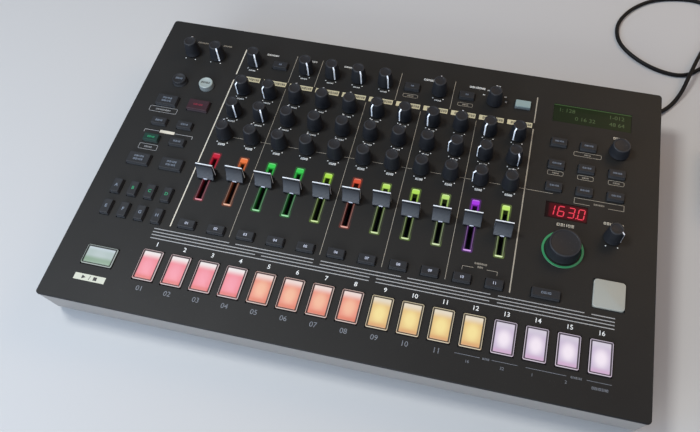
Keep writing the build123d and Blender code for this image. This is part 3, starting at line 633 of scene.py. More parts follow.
def guideMesh(name, finish):
    slotLength = faderLight["slotFront"] - faderLight["slotRear"]
    shift = guideMiddle - (faderLight["slotRear"] + faderLight["slotFront"]) / 2
    edge, high = faderLight["edge"], faderLight["proud"]
    steps = ((0, faderLight["foot"]), (0, high - edge), (edge, high))
    levels = []
    for inset, z in steps:
        levels.append((faderLight["width"] - 2 * inset, guideLength - 2 * inset, faderLight["corner"], z))
    for inset, z in reversed(steps):
        width, length = faderLight["slotWidth"] + 2 * inset, slotLength + 2 * inset
        levels.append((width, length, faderLight["slotCorner"], z, shift))
    return frameMesh(name, levels, finish, 30)


def spillMesh(name, finish):
    # painted light: a thin glowing band on the panel next to the guide, where the guide's light spills onto it
    levels = []
    for grow, z in ((0.35, -0.02), (0.35, 0.02), (1.5, 0.02), (1.5, -0.02)):
        levels.append((faderLight["width"] + 2 * grow, guideLength + 2 * grow, faderLight["corner"] + grow, z))
    return frameMesh(name, levels, finish, 20)


def guideGlow(x, y, z, lit, deep):
    # a bright block at the rear, legs that fade towards the cap, pale rails and a bright bar in front
    def towardsWhite(share):
        return tuple(v + (246 - v) * share for v in lit)
    parts = ("block", "rearEdge", "bar", "rails", "legs")
    block, rearEdge, bar, rails, legs = (rise(y, *faderLight[part]) for part in parts)
    outer = calc("SUBTRACT", 1.0, within(x, -2.2, 2.2, 0.12))
    shown = mixColour(times(outer, rails), lit, towardsWhite(0.5))
    shown = mixColour(rearEdge, shown, towardsWhite(0.3))
    shown = mixColour(bar, shown, towardsWhite(0.55))
    faint = calc("ADD", calc("ADD", times(outer, 0.2), times(legs, 0.35)), 0.1)
    strength = larger(larger(block, bar), faint)
    top = calc("ADD", times(rise(z, -deep, 0.1), 0.97), 0.03)
    return mixColour(times(strength, top), (3, 3, 3), shown)


# painted light: the guide's colour glows on the panel round the guide, most at its ends
def spillGlow(x, y, z, lit):
    awayX = calc("SUBTRACT", calc("ABSOLUTE", x), faderLight["width"] / 2)
    awayY = calc("SUBTRACT", calc("ABSOLUTE", y), guideLength / 2)
    ends = larger(rise(y, 8, 17), rise(y, -15, -20.5))
    strength = times(rise(larger(awayX, awayY), 1.5, 0.2), calc("ADD", times(ends, 0.16), 0.04))
    return mixColour(strength, (0, 0, 0), lit)


guideLook = {"base": (22, 22, 23), "grain": 0.3, "roughness": 0.4, "bump": 0.05, "specular": 0.2}
for i, lit in enumerate(faderLight["colours"]):
    number, deep = f"{i + 1:02d}", faderLight["deep"][i]
    guideLit = glowing("guideLit" + number, guideLook, lambda x, y, z: guideGlow(x, y, z, lit, deep), 0.95)
    guide = guideMesh("lightGuide" + number, guideLit)
    standIn("fader_light_guides", "lightGuide" + number, guide, channels[i], guideMiddle, "light_guide", "base")
    spillLit = glowing("spillLit" + number, panelLook, lambda x, y, z: spillGlow(x, y, z, lit))
    spill = spillMesh("lightSpill" + number, spillLit)
    place("lightSpill" + number, spill, onPanel(channels[i], guideMiddle), "base")

# Buttons
print("buttons")
button = {
    "height": 2.8, "corner": 0.8, "draft": 3.7, "flange": 0.7, "flangeTop": -1.9, "flangeFoot": -2.9, "round": 0.35,
}
roundButton = {"radius": 5.9, "height": 4.3, "places": [(29.2, 64.8), (51.9, 64.8)]}
buttonMeshes = {}


def buttonMesh(width, length, finish):
    key = (width, length, finish.name)
    if key not in buttonMeshes:
        high, bend, flange, top = (button[part] for part in ("height", "round", "flange", "flangeTop"))

        def level(z, inset, corner=button["corner"] - 0.2):
            taper = 2 * (z - top) * tan(radians(button["draft"])) + 2 * inset
            return width - taper, length - taper, corner, z
        levels = [(width + 2 * flange, length + 2 * flange, 0.3, z) for z in (button["flangeFoot"], top)]
        levels += [level(top, 0), level(0.6, 0), level(high - bend, 0), level(high - 0.1, 0.1), level(high, bend)]
        levels.append((*level(high, 0.85)[:2], 0.4, high - 0.06))
        buttonMeshes[key] = meshFrom(ringLoft(levels), f"button{len(buttonMeshes) + 1:02d}", finish, 35)
    return buttonMeshes[key]


def roundButtonMesh(name, finish):
    radius, high = roundButton["radius"], roundButton["height"]
    flange, foot, top = radius + button["flange"], button["flangeFoot"], button["flangeTop"]
    body = lathe([
        (0, foot), (flange, foot), (flange, top), (radius, top), (radius, 0.5),
        (radius - 0.4, high - 0.7), (radius - 0.5, high - 0.3), (radius - 0.75, high - 0.06), (radius - 1, high),
        (radius - 1.3, high), (radius - 1.6, high - 0.15), (0, high - 0.25),
    ], 56)
    return meshFrom(body, name, finish, 35)


def keyFinish(name, base):
    # painted highlight: the sides are painted paler towards the foot, where light catches them
    return surface(name, {
        "base": base, "grain": 0.3, "drift": 0.16, "specular": 0.25, "worn": ((98, 102, 106), 0.3, 0.45),
        "dust": (0.06, 0.01),
    }, lambda shown, x, y, z: mixColour(times(rise(z, 2.7, 1), 0.35), shown, (86, 86, 87)))


def litKey(name, lit, strength, low, high):
    def glow(x, y, z):
        return mixColour(rise(z, low, high), tuple(v * 0.25 for v in lit), lit)
    return glowing(name, {"base": (110, 116, 116), "grain": 0.3, "roughness": 0.35, "bump": 0.1}, glow, strength)


keyRubber = keyFinish("keyRubber", (37, 37, 38))
whiteKey = litKey("whiteKey", (138, 152, 148), 0.65, 3.2, 4)
colouredKeys = {
    ("topButton", 3): litKey("tealKey", (112, 142, 138), 0.55, 1.4, 2.7),
    ("wideButton", 1): keyFinish("redKey", (52, 28, 34)),
    ("narrowButton", 2): keyFinish("greenKey", (18, 50, 40)),
}
keyRow = 190.9
functionButtons = {
    "wideButton": (17.2, 10.2, [(x, y) for y in (86.6, 144.4) for x in (26.9, 53.2)]),
    "narrowButton": (12.2, 6.8, [(x, y) for y in (107.6, 124) for x in (28.6, 49.7)]),
    "letterButton": (6.8, 12.2, [(x, y) for y in (170.7, 189.1) for x in (20.6, 33.7, 46.8, 59.9)]),
    "menuButton": (12.2, 7, [
        (334.3, 63.6), (356.2, 63.6), *((x, y) for y in (84.2, 104.2) for x in (334.3, 356.2, 378.4)),
    ]),
    "topButton": (12.2, 7, [(x, 32.8) for x in (104.8, 215, 259, 303.3)]),
    "muteButton": (19.2, 7, [(337.5, 190.8)]),
}
for i, left in enumerate(channels):
    key = buttonMesh(12.4, 7, keyRubber)
    standIn("instrument_buttons", f"instrumentButton{i + 1:02d}", key, left, keyRow, "button")
for label, (width, length, spots) in functionButtons.items():
    for i, (left, rear) in enumerate(spots):
        key = buttonMesh(width, length, colouredKeys.get((label, i), keyRubber))
        standIn("function_buttons", f"{label}{i + 1:02d}", key, left, rear, "button")
for i, (label, finish) in enumerate((("Dark", keyRubber), ("Lit", whiteKey))):
    key = roundButtonMesh("roundButton" + label, finish)
    standIn("function_buttons", f"roundButton{i + 1:02d}", key, *roundButton["places"][i], "button")

# Pads
print("pads")
pad = {
    "width": 14.6, "length": 23.1, "proud": 1.5, "skirt": -5.5, "corner": 1, "rim": 0.27, "trench": 1.15,
    "depth": 0.9, "pitch": 20.52, "first": 68.3, "row": 227.3,
    # the light's colours: main, front, centre, rear, trench and rim
    "lights": [
        ((244, 140, 152), (224, 108, 98), (250, 158, 174), (246, 238, 238), (96, 34, 42), (240, 222, 224)),
        ((238, 148, 126), (224, 122, 92), (250, 190, 158), (244, 222, 216), (146, 80, 70), (240, 220, 212)),
        ((234, 196, 130), (222, 164, 108), (252, 230, 156), (234, 222, 200), (176, 158, 116), (240, 228, 200)),
        ((206, 190, 216), (212, 172, 206), (250, 238, 250), (214, 206, 222), (152, 138, 164), (230, 218, 232)),
    ],
    "frontLight": (-0.27, -0.43),
}
startPad = {
    "width": 22.4, "length": 14.6, "place": (32.4, 227.8), "frontLight": (0, -0.24),
    "light": ((190, 208, 206), (136, 170, 138), (198, 214, 214), (212, 226, 234), (34, 54, 52), (208, 220, 216)),
}
triggerPad = {"size": (21, 20.8, 2.2), "place": (378.6, 182.5)}


def padMesh(name, width, length, corner, finish, inset=False):
    # a rounded cap, with a trench round its middle where the light block shows
    high, skirt = pad["proud"], pad["skirt"]
    # each step is what the outline loses in width and in corner radius, and its height
    steps = [(0, 0, skirt), (0, 0, high - 0.4), (0.15, 0, high - 0.18), (0.4, 0.1, high - 0.03), (0.6, 0.2, high)]
    if inset:
        rim, far = 2 * pad["rim"], 2 * (pad["rim"] + pad["trench"])
        floor = high - pad["depth"]
        steps += [
            (rim, 0.35, high), (rim + 0.2, 0.4, floor), (far - 0.15, 0.5, floor), (far, 0.5, high - 0.35),
            (far + 0.5, 0.5, high - 0.12), (far + 1.6, 0.6, high - 0.08),
        ]
    levels = [(width - 2.4, length - 2.4, 0.3, z) for z in (0, skirt)]
    levels += [(width - loss, length - loss, corner - round, z) for loss, round, z in steps]
    body = ringLoft(levels)
    x, y = width / 2 + 0.8, length / 2 + 0.8
    addBlock(body, (-x, -y, button["flangeFoot"]), (x, y, button["flangeTop"]))
    return meshFrom(body, name, finish, 30)


def padGlow(light, frontLight, width, length):
    main, front, centre, rear, trench, rim = light
    rimX, rimY = width / 2 - pad["rim"] - 0.05, length / 2 - pad["rim"] - 0.05
    blockX, blockY = rimX - pad["trench"], rimY - pad["trench"]

    def area(x, y, halfX, halfY):
        return times(within(x, -halfX, halfX, 0.06), within(y, -halfY, halfY, 0.06))

    def glow(x, y, z):
        away = lengthOf(x, times(calc("ADD", y, 1.0), 0.72))
        shown = mixColour(rise(away, 7, 1.5), main, centre)
        shown = mixColour(times(rise(y, *(length * share for share in frontLight)), 0.85), shown, front)
        shown = mixColour(rise(y, length * 0.17, length * 0.4), shown, rear)
        # painted highlight: the rim is painted brighter on the left and front than on the right and rear, and the
        # front of the trench is painted pale as a glint
        far = larger(rise(x, -blockX * 0.8, blockX), rise(y, blockY * 0.8, blockY + 0.2))
        bright = mixColour(far, rim, between(0.12, rim, trench))
        gap = mixColour(far, trench, between(0.75, rim, trench))
        gap = mixColour(rise(y, 0.2 - blockY, -blockY), gap, between(0.8, rim, front))
        edging = mixColour(area(x, y, rimX, rimY), bright, gap)
        shown = mixColour(area(x, y, blockX, blockY), edging, shown)
        return mixColour(rise(z, 0.4, 1.35), (22, 18, 18), shown)
    return glow


padLook = {"base": (46, 44, 44), "grain": 0.5, "drift": 0.06, "roughness": 0.32, "bump": 0.04, "specular": 0.3}


def litPad(node, finishName, size, light, left, rear, strength):
    width, length = size["width"], size["length"]
    finish = glowing(finishName, padLook, padGlow(light, size["frontLight"], width, length), strength)
    mesh = padMesh(node + "_lit", width, length, pad["corner"], finish, True)
    standIn(node, node + "_lit", mesh, left, rear, "pad")


for i in range(16):
    number, left = f"{i + 1:02d}", pad["first"] + pad["pitch"] * i
    litPad("step_pad_" + number, "padLit" + number, pad, pad["lights"][i // 4], left, pad["row"], 0.9)
litPad("start_pad", "startPadLit", startPad, startPad["light"], *startPad["place"], 0.8)
frostedWhite = surface("frostedWhite", {
    "base": (158, 157, 145), "grain": 0.5, "drift": 0.05, "roughness": 0.42, "bump": 0.1,
    "worn": ((222, 224, 220), 0.5, 0.5), "dust": (0.1, 0.03),
})
mesh = padMesh("trigger_pad_frosted", *triggerPad["size"], frostedWhite)
standIn("trigger_pad", "trigger_pad_frosted", mesh, *triggerPad["place"], "pad")

# Displays
print("displays")
lcd = {"width": 59.4, "length": 17.3, "place": (357.1, 33.9)}
tempoDisplay = {"width": 29.7, "length": 13.4, "place": (345.2, 123.4), "digits": "1630"}
windowDepth = 0.2


def lcdGlow(x, y, z):
    edge = lcd["length"] / 2
    shown = mixColour(rise(y, 2, 5.5), (22, 32, 15), (13, 30, 7))
    return mixColour(rise(y, edge - 1.05, edge - 0.8), shown, (64, 92, 54))


def redGlow(x, y, z):
    halfX, halfY = tempoDisplay["width"] / 2, tempoDisplay["length"] / 2
    near = times(within(x, 4 - halfX, halfX - 1.5, 2.5), within(y, 2 - halfY, halfY - 2, 2))
    return mixColour(near, (20, 6, 8), (78, 5, 20))


for name, finishName, display, base, glow in (
    ("lcdWindow", "lcdWindow", lcd, (14, 20, 14), lcdGlow),
    ("tempoWindow", "redWindow", tempoDisplay, (12, 6, 7), redGlow),
):
    finish = glowing(finishName, {
        "base": base, "grain": 0.5, "roughness": 0.3, "drift": 0.05, "bump": 0, "specular": 0.12,
    }, glow, 0.8)
    width, length = display["width"], display["length"]
    levels = [(width, length, 0.4, -1.8), (width, length, 0.4, -windowDepth - 0.15)]
    levels.append((width - 0.3, length - 0.3, 0.4, -windowDepth))
    standIn("displays", name, meshFrom(ringLoft(levels), name, finish, 30), *display["place"], "window", "base")

# Seven-segment digits
segmentShape = {
    "width": 4.2, "height": 8.2, "bar": 0.8, "gap": 0.14, "slant": 0.12, "pitch": 7.1, "levels": (-0.03, 0.05),
    "lit": {"0": "abcdef", "1": "bc", "3": "abgcd", "6": "afgedc"},
}


def addSegment(body, upright, middleX, middleY, length):
    half, reach = segmentShape["bar"] / 2, length / 2 - segmentShape["gap"]
    inner = reach - half
    outline = []
    for u, v in ((-reach, 0), (-inner, half), (inner, half), (reach, 0), (inner, -half), (-inner, -half)):
        x, y = (v, u) if upright else (u, v)
        y += middleY
        outline.append((middleX + x + y * segmentShape["slant"], y))
    prism(body, [[(x, y, z) for x, y in outline] for z in segmentShape["levels"]])


def digitMesh(name, finish):
    body = bmesh.new()
    width, height, pitch = (segmentShape[key] for key in ("width", "height", "pitch"))
    w, h = width / 2, height / 2
    spots = {
        "a": (False, 0, h, width), "d": (False, 0, -h, width), "g": (False, 0, 0, width),
        "b": (True, w, h / 2, h), "c": (True, w, -h / 2, h), "f": (True, -w, h / 2, h), "e": (True, -w, -h / 2, h),
    }
    for i, digit in enumerate(tempoDisplay["digits"]):
        for key in segmentShape["lit"][digit]:
            upright, x, y, length = spots[key]
            addSegment(body, upright, (i - 1.5) * pitch + x, y, length)
    # the point before the last digit
    low, high = segmentShape["levels"]
    addBlock(body, (1.5 * pitch - 3.9, -4.3, low), (1.5 * pitch - 3, -3.4, high))
    return meshFrom(body, name, finish, 30)


redDigits = glowing("redDigits", {"base": (60, 6, 10), "grain": 0.3, "roughness": 0.3, "bump": 0}, (229, 49, 77))
digits = digitMesh("tempoDigits", redDigits)
place("tempoDigits", digits, onPanel(*tempoDisplay["place"], -windowDepth), "base")

# Tempo ring
ring = {"inner": 13, "outer": 14.5, "proud": 0.2, "foot": -5.6, "disc": 12.9, "hole": 3.5, "edge": 0.12}


def ringMesh(name, inner, outer, low, high, finish, segments=96):
    edge = ring["edge"]
    body = bmesh.new()
    joinRings(body, [circle(body, radius, height, segments) for radius, height in (
        (inner, low), (outer, low), (outer, high - edge), (outer - edge, high), (inner + edge, high),
        (inner, high - edge),
    )], True)
    return meshFrom(body, name, finish, 30)


ringLit = glowing(
    "ringLit", {"base": (40, 60, 48), "roughness": 0.3, "bump": 0.05},
    lambda x, y, z: mixColour(rise(x, 15, -15), (22, 104, 62), (34, 138, 84)), 0.7)
for name, inner, outer, high, finish in (
    ("tempoRing", ring["inner"], ring["outer"], ring["proud"], ringLit),
    ("tempoBezel", ring["hole"], ring["disc"], 0, panelPaint),
):
    mesh = ringMesh(name, inner, outer, ring["foot"], high, finish)
    standIn("tempo_ring", name, mesh, *tempoPlace, "ring", "base")

# Printed marks, as thin raised ink: each kind of level is the ink's foot and its top
print("print")
onFace, onStrip, onKey, onRoundKey, onGlass = (-0.02, 0.04), (-0.02, 0.07), (2.7, 2.85), (3.95, 4.2), (-0.25, -0.16)
boldness = {"step": 0.01, "key": 0.022}
scaleDot = {"side": 4.1, "front": 7.1, "radius": 0.42, "segments": 12}
strip = {"half": 9.6, "rear": 48.6, "front": 53.2, "words": (1.3, 1.1, 1.2, 1.3, 1, 1.3, 1.2, 1.3, 1.1, 1.2)}


def bar(body, left, rear, right, front, levels=onFace):
    x0, y0 = fromEdges(left, front)
    x1, y1 = fromEdges(right, rear)
    addBlock(body, (x0, y0, levels[0]), (x1, y1, levels[1]))


def across(body, left, right, rear, thickness=0.3):
    bar(body, left, rear - thickness / 2, right, rear + thickness / 2)


def down(body, left, rear, front, thickness=0.3):
    bar(body, left - thickness / 2, rear, left + thickness / 2, front)


def outlineBox(body, left, rear, right, front, thickness=0.28):
    # a thin frame with rounded corners
    low, high = onFace
    levels = []
    for inset, z in ((0, low), (0, high), (thickness, high), (thickness, low)):
        levels.append((right - left - 2 * inset, front - rear - 2 * inset, 1.1 - inset, z))
    x, y = fromEdges((left + right) / 2, (rear + front) / 2)
    bmesh.ops.translate(body, verts=addFrame(body, levels), vec=(x * mm, y * mm, 0))


def addCylinder(body, x, y, radius, low, high, segments):
    closeRings(body, [circle(body, radius, z, segments, x, y) for z in (low, high)])


def dots(body, left, rear):
    # the two end marks of a knob's scale, from the place of the knob
    for side in (-scaleDot["side"], scaleDot["side"]):
        spot = fromEdges(left + side, rear + scaleDot["front"])
        addCylinder(body, *spot, scaleDot["radius"], *onFace, scaleDot["segments"])


def wordMarks(body, left, rear, height=1.2, pattern=(0.9, 0.7, 0.9, 0.6, 0.9), gap=0.32, levels=onFace):
    # a row of small outlined blocks, centred, where a label would be
    x = left - (sum(pattern) + gap * (len(pattern) - 1)) / 2
    stroke = 0.2 * height
    top, foot = rear - height / 2, rear + height / 2
    for i, w in enumerate(pattern):
        kind = i % 3
        bars = []
        if kind < 2:
            bars += [(x, top, x + w, top + stroke), (x, foot - stroke, x + w, foot)]
        if kind != 1:
            bars += [(x, top, x + stroke, foot), (x + w - stroke, top, x + w, foot)]
        else:
            bars.append((x, rear - stroke / 2, x + w, rear + stroke / 2))
        for box in bars:
            bar(body, *box, levels)
        x += w + gap


fontMeshes = {}


def numeral(body, text, left, rear, height, levels=onFace, bold=0):
    if (text, bold) not in fontMeshes:
        curve = bpy.data.curves.new("numeral", "FONT")
        curve.body = text
        curve.size = 1
        curve.align_x = "CENTER"
        curve.offset = bold
        curve.resolution_u = 4
        holder = newObject("numeral", curve)
        evaluated = holder.evaluated_get(bpy.context.evaluated_depsgraph_get())
        fontMeshes[text, bold] = bpy.data.meshes.new_from_object(evaluated)
        bpy.data.objects.remove(holder)
    shape = fontMeshes[text, bold]
    xs, ys = ([v.co[axis] for v in shape.vertices] for axis in (0, 1))
    middleX, middleY, scale = (min(xs) + max(xs)) / 2, (min(ys) + max(ys)) / 2, height / (max(ys) - min(ys))
    x0, y0 = fromEdges(left, rear)
    verts = [
        vertex(body, x0 + (x - middleX) * scale, y0 + (y - middleY) * scale, levels[1]) for x, y in zip(xs, ys)
    ]
    for face in shape.polygons:
        body.faces.new([verts[k] for k in face.vertices])


def inkFinish(name, base):
    return surface(name, {"base": base, "grain": 0.35, "drift": 0.12, "roughness": 0.55, "bump": 0.15})


inks = {
    "creamPrint": ("creamInk", (212, 202, 180)), "labelPrint": ("labelInk", (200, 198, 176)),
    "stripPrint": ("stripInk", (206, 196, 158)), "whitePrint": ("whiteInk", (236, 234, 226)),
    "greyPrint": ("greyInk", (160, 158, 154)), "captionPrint": ("captionInk", (116, 118, 122)),
    "linePrint": ("fineInk", (162, 152, 134)), "darkPrint": ("darkInk", (46, 40, 34)),
}
prints = {name: bmesh.new() for name in inks}
cream, labels, strips, white, grey, captions, thin, dark = prints.values()
downLines = [
    (cream, 71.4, 20.5, 48, 0.85), (cream, 71.4, 54, 194.5, 0.85), (thin, 313.9, 22, 48, 0.85),
    (thin, 313.9, 54, 194.5, 0.85), *((thin, left, 19, 48, 0.35) for left in (115.5, 137.5, 204, 248)),
    *((thin, left, 55, 194, 0.35) for left in (115.7, 182, 226, 270)),
    (grey, 19.7, 116, 118.6, 0.4), (grey, 59, 116, 118.6, 0.4), (thin, 349.9, 109.8, 114.6),
    (thin, 385, 109.8, 114.6), (thin, 280, 181, 184), (thin, 304, 181, 184),
]
stepRows = {
    198.4: [(61, 117.3), (122, 179), (184, 240.5), (245, 301.7), (306.7, 363.7), (368.3, 383.5)],
    201: [(61, 179), (184, 383.5)],
    203.4: [(61, 138), (142.5, 219.8), (224.5, 301.7), (306.7, 383.5)],
    206: [(61, 219.8), (224.5, 383.5)],
}
acrossLines = [
    *((grey, left, right, rear, 0.65) for rear, spans in stepRows.items() for left, right in spans),
    *((thin, left + 6.9, left + 15.1, 109.8) for left in channels[:-1]), (thin, channels[-1] + 6.9, 334.3, 109.8),
    (grey, 19.5, 31.2, 116, 0.4), (grey, 44.8, 59.2, 116, 0.4), (thin, 349.9, 361, 114.6), (thin, 374, 385, 114.6),
    (thin, 349.9, 385, 109.8), (thin, 280, 287.5, 181), (thin, 296.5, 304, 181),
    *((captions, left, right, 243.6) for left, right in ((285, 301.5), (309, 325.5), (330.5, 356), (368.5, 384))),
]
boxes = [
    (209, 39.4, 221, 42.9), (253, 39.4, 265, 42.9), (346, 68.6, 366.5, 72.6), (328.5, 89.4, 340.1, 93.4),
    (350.4, 89.4, 362, 93.4), (372.6, 89.4, 384.2, 93.4),
]
words = [
    *((white, left, 41.4) for left in (82.8, 126.9, 149, 171, 193, 237)),
    *((white, *spot, 1.1, (0.7, 0.6)) for spot in ((275, 23), (272, 28), (283, 17), (289, 27), (290, 32))),
    (white, 228, 22, 1.9, (1.6, 1.5, 1.4, 1.3, 1.4, 1.5), 0.4),
    (white, 266, 22, 1.9, (1.5, 1.4, 1.5, 1.5, 1.2, 0.5, 1, 1), 0.4),
    (white, 95, 22, 1.7, (1.4, 1.3, 1.3, 1.3, 1.4, 1.2), 0.4),
    (white, 128, 22, 1.7, (1.3, 1.3, 1.2, 1.3, 1.3, 1.2), 0.4),
    (white, 160, 22, 1.7, (1.3, 1.2, 1.1, 1.3, 1.3), 0.4),
    (thin, 33, 20.6, 1.5, (1.2, 1.1, 1.1, 1.2, 1.2, 1.1), 0.35),
    (thin, 54.6, 20.2, 1.5, (1.2, 1.1, 1.1, 1.2, 1.2), 0.35),
    (cream, 378.8, 50.2, 2.1, (1.6, 1.5, 1.4, 1.5, 1.4), 0.5),
    (cream, 345.6, 134.6, 2.2, (2, 1.8, 2.1, 1.8, 1.9), 0.6),
    (cream, 378.6, 126.9, 2.1, (1.6, 1.6, 1.6, 1.5, 1.5, 1.4, 1.5), 0.5),
    (grey, 26.5, 95.4, 1.3, (1.1, 1.1, 1, 1.1, 1, 1.1, 1.1, 1, 1)),
    (grey, 28.6, 131.8, 1.3, (1, 1, 1, 0.9, 1)),
    (thin, 367.5, 113, 1.3, (1, 0.9, 1, 0.9, 1, 0.9)),
    (thin, 292, 177.4, 1.4, (1, 1, 0.5, 1, 1, 1, 1)),
    (thin, 292, 180, 1.4, (1, 1, 1)),
    (captions, 305.3, 243.7, 1.4, (0.9, 0.9, 0.8, 0.8)),
    (captions, 362.2, 243.7, 1.4, (0.9, 0.5, 0.8, 0.8, 0.4, 0.8, 0.8)),
    (captions, 377, 247.8, 1.8, (1.2, 1.1, 1.2, 1.2, 1.1, 1.2, 1.2)),
]
knobWords = {"controlKnob": (1.9, (1.1, 1, 1.1, 1.1))}
for line in downLines:
    down(*line)
for line in acrossLines:
    across(*line)
for left in channels:
    bar(strips, left - strip["half"], strip["rear"], left + strip["half"], strip["front"])
    wordMarks(dark, left + 1, (strip["rear"] + strip["front"]) / 2, 2.2, strip["words"], 0.4, onStrip)
    for label, (rear, clocks) in knobRows.items():
        dots(white, left, rear)
        wordMarks(white, left, rear + 9, *knobWords.get(label, (1.2, (0.9, 0.9, 0.7, 0.9, 0.9))))
for node, (left, rear, clock) in topKnobs.items():
    if node != "fill_knob":
        dots(white, left, rear)
for left, rear, right, front in boxes:
    outlineBox(thin, left, rear, right, front)
    wordMarks(thin, (left + right) / 2, (rear + front) / 2, 1.2, (0.9, 1, 0.9, 0.9))
outlineBox(grey, 15, 92.7, 38, 98)
outlineBox(grey, 21, 129.2, 36, 134.4)
bar(cream, 32, 114.6, 44, 117.2)
bar(labels, 20.9, 242.5, 43.5, 247.3)
for word in words:
    wordMarks(*word)
for i in range(16):
    left = pad["first"] + pad["pitch"] * i
    numeral(white, str(i + 1), left, 210.3, 3.3, bold=boldness["step"])
    if i < 11:
        numeral(captions, f"{i + 1:02d}", left, 244.6, 3.6)
for left, text in ((294, "16"), (316, "32"), (335, "1"), (356, "2")):
    numeral(captions, text, left, 247.6, 2)
# the label under the start pad: a triangle, a stroke and a square
playMark = ((26.5, 243.5), (26.5, 246.3), (29.4, 244.9))
dark.faces.new([vertex(dark, *fromEdges(*point), onStrip[1]) for point in playMark])
numeral(dark, "/", 32.2, 244.9, 2.9, onStrip, boldness["key"])
bar(dark, 34.9, 243.6, 37.5, 246.2, (0.03, onStrip[1]))
inkFinishes = {name: inkFinish(*ink) for name, ink in inks.items()}
for name, body in prints.items():
    place(name, meshFrom(body, name, inkFinishes[name], 20), panelFrame, "base")

# Marks on the buttons and characters in the display
keyPrints = {
    "instrumentMarks": inkFinish("brightKeyInk", (186, 188, 198)),
    "functionMarks": inkFinish("keyInk", (118, 126, 136)),
    "greenMarks": glowing("greenLit", {"base": (20, 90, 60)}, (27, 153, 101), 0.6),
    "redMarks": glowing("redLit", {"base": (90, 20, 30)}, (141, 27, 57), 0.5),
    "darkMarks": inkFinishes["darkPrint"],
}
keyBodies = {name: bmesh.new() for name in keyPrints}
keyMarks, functionMarks, greenMarks, redMarks, darkMarks = keyBodies.values()
spots = {label: places for label, (width, length, places) in functionButtons.items()}
darkSpot, litSpot = roundButton["places"]
keyWords = [
    *((functionMarks, left, rear + row, 1.5, (1.3, 1.2, 1.3, 1.1, 1.2), 0.35)
      for i, (left, rear) in enumerate(spots["wideButton"]) if i != 1 for row in (-1.4, 1.4)),
    (redMarks, *spots["wideButton"][1], 1.5, (1.3, 1.2, 1.3, 1.1, 1.2), 0.35),
    *((greenMarks if i == 2 else functionMarks, *spot, 1.5, (1.3, 1.1, 1.2, 1), 0.35)
      for i, spot in enumerate(spots["narrowButton"])),
    *((functionMarks, *spot, 1.3, (1.1, 1, 1.1, 1, 1), 0.3) for spot in spots["menuButton"]),
    *((functionMarks, *spot, 1.3, (1, 1), 0.3) for spot in spots["topButton"][:3]),
    (functionMarks, *spots["muteButton"][0], 1.6, (1.5, 1.3, 1.3, 1.3), 0.4),
]
for word in keyWords:
    wordMarks(*word, onKey)
wordMarks(functionMarks, *darkSpot, 1.5, (1.2, 1.1, 1.1, 1.2), 0.35, onRoundKey)
wordMarks(darkMarks, *litSpot, 1.8, (1.2, 1.1, 1.2, 1.1, 1.2), 0.35, onRoundKey)
for i, left in enumerate(channels):
    numeral(keyMarks, f"{i + 1:02d}", left, keyRow, 2.1, onKey, boldness["key"])
for i, (left, rear) in enumerate(spots["letterButton"]):
    marks = greenMarks if 0 < i < 4 else functionMarks
    numeral(marks, "ABCDEFGH"[i], left, rear, 2.6, onKey, boldness["key"])
for name, body in keyBodies.items():
    rides = "instrument_buttons" if name == "instrumentMarks" else "function_buttons"
    place(name, meshFrom(body, name, keyPrints[name], 20), panelFrame, rides)
characters = bmesh.new()
for left, rear, text in ((338, 30.4, "1: 128"), (376, 30.4, "1-012"), (352, 37.2, "0 16 32"), (376, 37.2, "48 64")):
    numeral(characters, text, left, rear, 3.6, onGlass)
lcdCharacters = glowing("lcdCharacters", {"base": (24, 40, 22), "roughness": 0.4}, (61, 86, 50), 0.62)
place("lcdCharacters", meshFrom(characters, "lcdCharacters", lcdCharacters, 20), panelFrame, "base")

# Sockets at the rear: plated rims round the jacks, pins in the five-pin sockets
print("sockets")
rearSockets = {
    "wall": 129.6, "jackHeight": 22, "midiHeight": 25.5, "rimInner": 3.3, "rimOuter": 5.2,
    "jacks": [-180, -152, -132, -104, -84, -52, -32, -12, 8, 28, 48], "midi": [84, 106],
    "pinCircle": 4.4, "pinRadius": 0.75, "pinLevels": (-9, -2),
}
nickel = surface("nickel", {
    "base": (168, 166, 160), "grain": 0.3, "roughness": 0.28, "metallic": 1, "drift": 0.08,
    "worn": ((200, 198, 192), 0.15, 0.6),
})
pins = bmesh.new()
for angle in (0, 45, 90, 135, 180):
    turn = radians(angle)
    x, y = rearSockets["pinCircle"] * cos(turn), rearSockets["pinCircle"] * sin(turn)
    addCylinder(pins, x, y, rearSockets["pinRadius"], *rearSockets["pinLevels"], 16)
pinMesh = meshFrom(pins, "midiPins", nickel)
rimMesh = ringMesh("jackRim", rearSockets["rimInner"], rearSockets["rimOuter"], 0.6, 1.5, nickel)


def onWall(name, mesh, x, height):
    lie = Matrix.Rotation(-pi / 2, 4, "X")
    spot = Matrix.Translation((x * mm, rearSockets["wall"] * mm, height * mm))
    place(name, mesh, spot @ lie, "base")


for i, x in enumerate(rearSockets["jacks"]):
    onWall(f"jackRim{i + 1:02d}", rimMesh, x, rearSockets["jackHeight"])
for i, x in enumerate(rearSockets["midi"]):
    onWall(f"midiPins{i + 1}", pinMesh, x, rearSockets["midiHeight"])

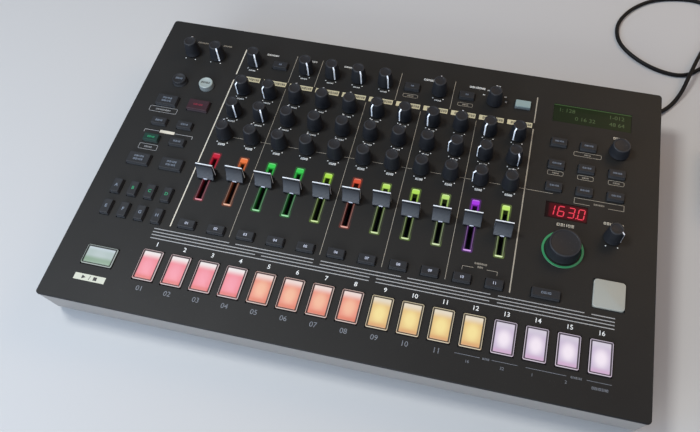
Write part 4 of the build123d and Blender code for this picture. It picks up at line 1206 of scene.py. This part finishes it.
# Table and light
print("table and light")
table = {
    "size": 3,
    "paint": {"Base Color": colour(194, 191, 186), "Roughness": 0.8, "Specular IOR Level": 0.15},
}
sheet = bmesh.new()
bmesh.ops.create_grid(sheet, x_segments=8, y_segments=8, size=table["size"])
tableMesh = bpy.data.meshes.new("table")
sheet.to_mesh(tableMesh)
sheet.free()
newObject("table", tableMesh)
tableTop = bpy.data.materials.new("tableTop")
tableTop.use_nodes = True
for label, value in table["paint"].items():
    tableTop.node_tree.nodes["Principled BSDF"].inputs[label].default_value = value
tableMesh.materials.append(tableTop)

studio = {
    "fill": 0.4,
    "high": (0.5, 0.62, 0.9, 1),
    "low": (0.95, 0.72, 0.46, 1),
    "left": (0.44, 0.62, 0.92, 1),
    "backdrop": (0.72, 0.73, 0.74, 1),
    "lamps": [
        ("windowLight", (-0.62, -0.04, 1.3), (0.3, 0.3), 10.5, (0.93, 0.96, 0.97)),
        ("frontLight", (-0.3, -1.25, 0.5), (1.2, 0.5), 14, (0.9, 0.95, 1)),
        ("coolLight", (-0.62, -0.5, 0.5), (0.5, 0.4), 3, (0.42, 0.64, 1)),
        ("warmLight", (0.5, 0.45, 0.65), (0.5, 0.4), 1.5, (1, 0.68, 0.4)),
    ],
}
world = bpy.data.worlds.new("studio")
world.use_nodes = True
tree = world.node_tree
background = tree.nodes["Background"].inputs
direction = addNode(tree, "SeparateXYZ", {0: addNode(tree, "TexCoord").outputs["Generated"]}).outputs
light = mixColour(rise(direction[1], 0.3, 0.62), studio["high"], studio["low"])
light = mixColour(rise(direction[0], -0.1, -0.5), light, studio["left"])
seen = addNode(tree, "LightPath").outputs["Is Camera Ray"]
strength = addNode(tree, "Mix", {0: seen, 2: studio["fill"], 3: 1.0}, data_type="FLOAT").outputs[0]
tree.links.new(mixColour(seen, light, studio["backdrop"]), background["Color"])
tree.links.new(strength, background["Strength"])
scene.world = world
for name, spot, size, power, tint in studio["lamps"]:
    lamp = bpy.data.lights.new(name, "AREA")
    lamp.shape = "RECTANGLE"
    lamp.size, lamp.size_y = size
    lamp.energy = power
    lamp.color = tint
    holder = newObject(name, lamp)
    holder.location = spot
    holder.rotation_euler = Vector(spot).to_track_quat("Z", "Y").to_euler()

bpy.context.view_layer.update()
print("done")
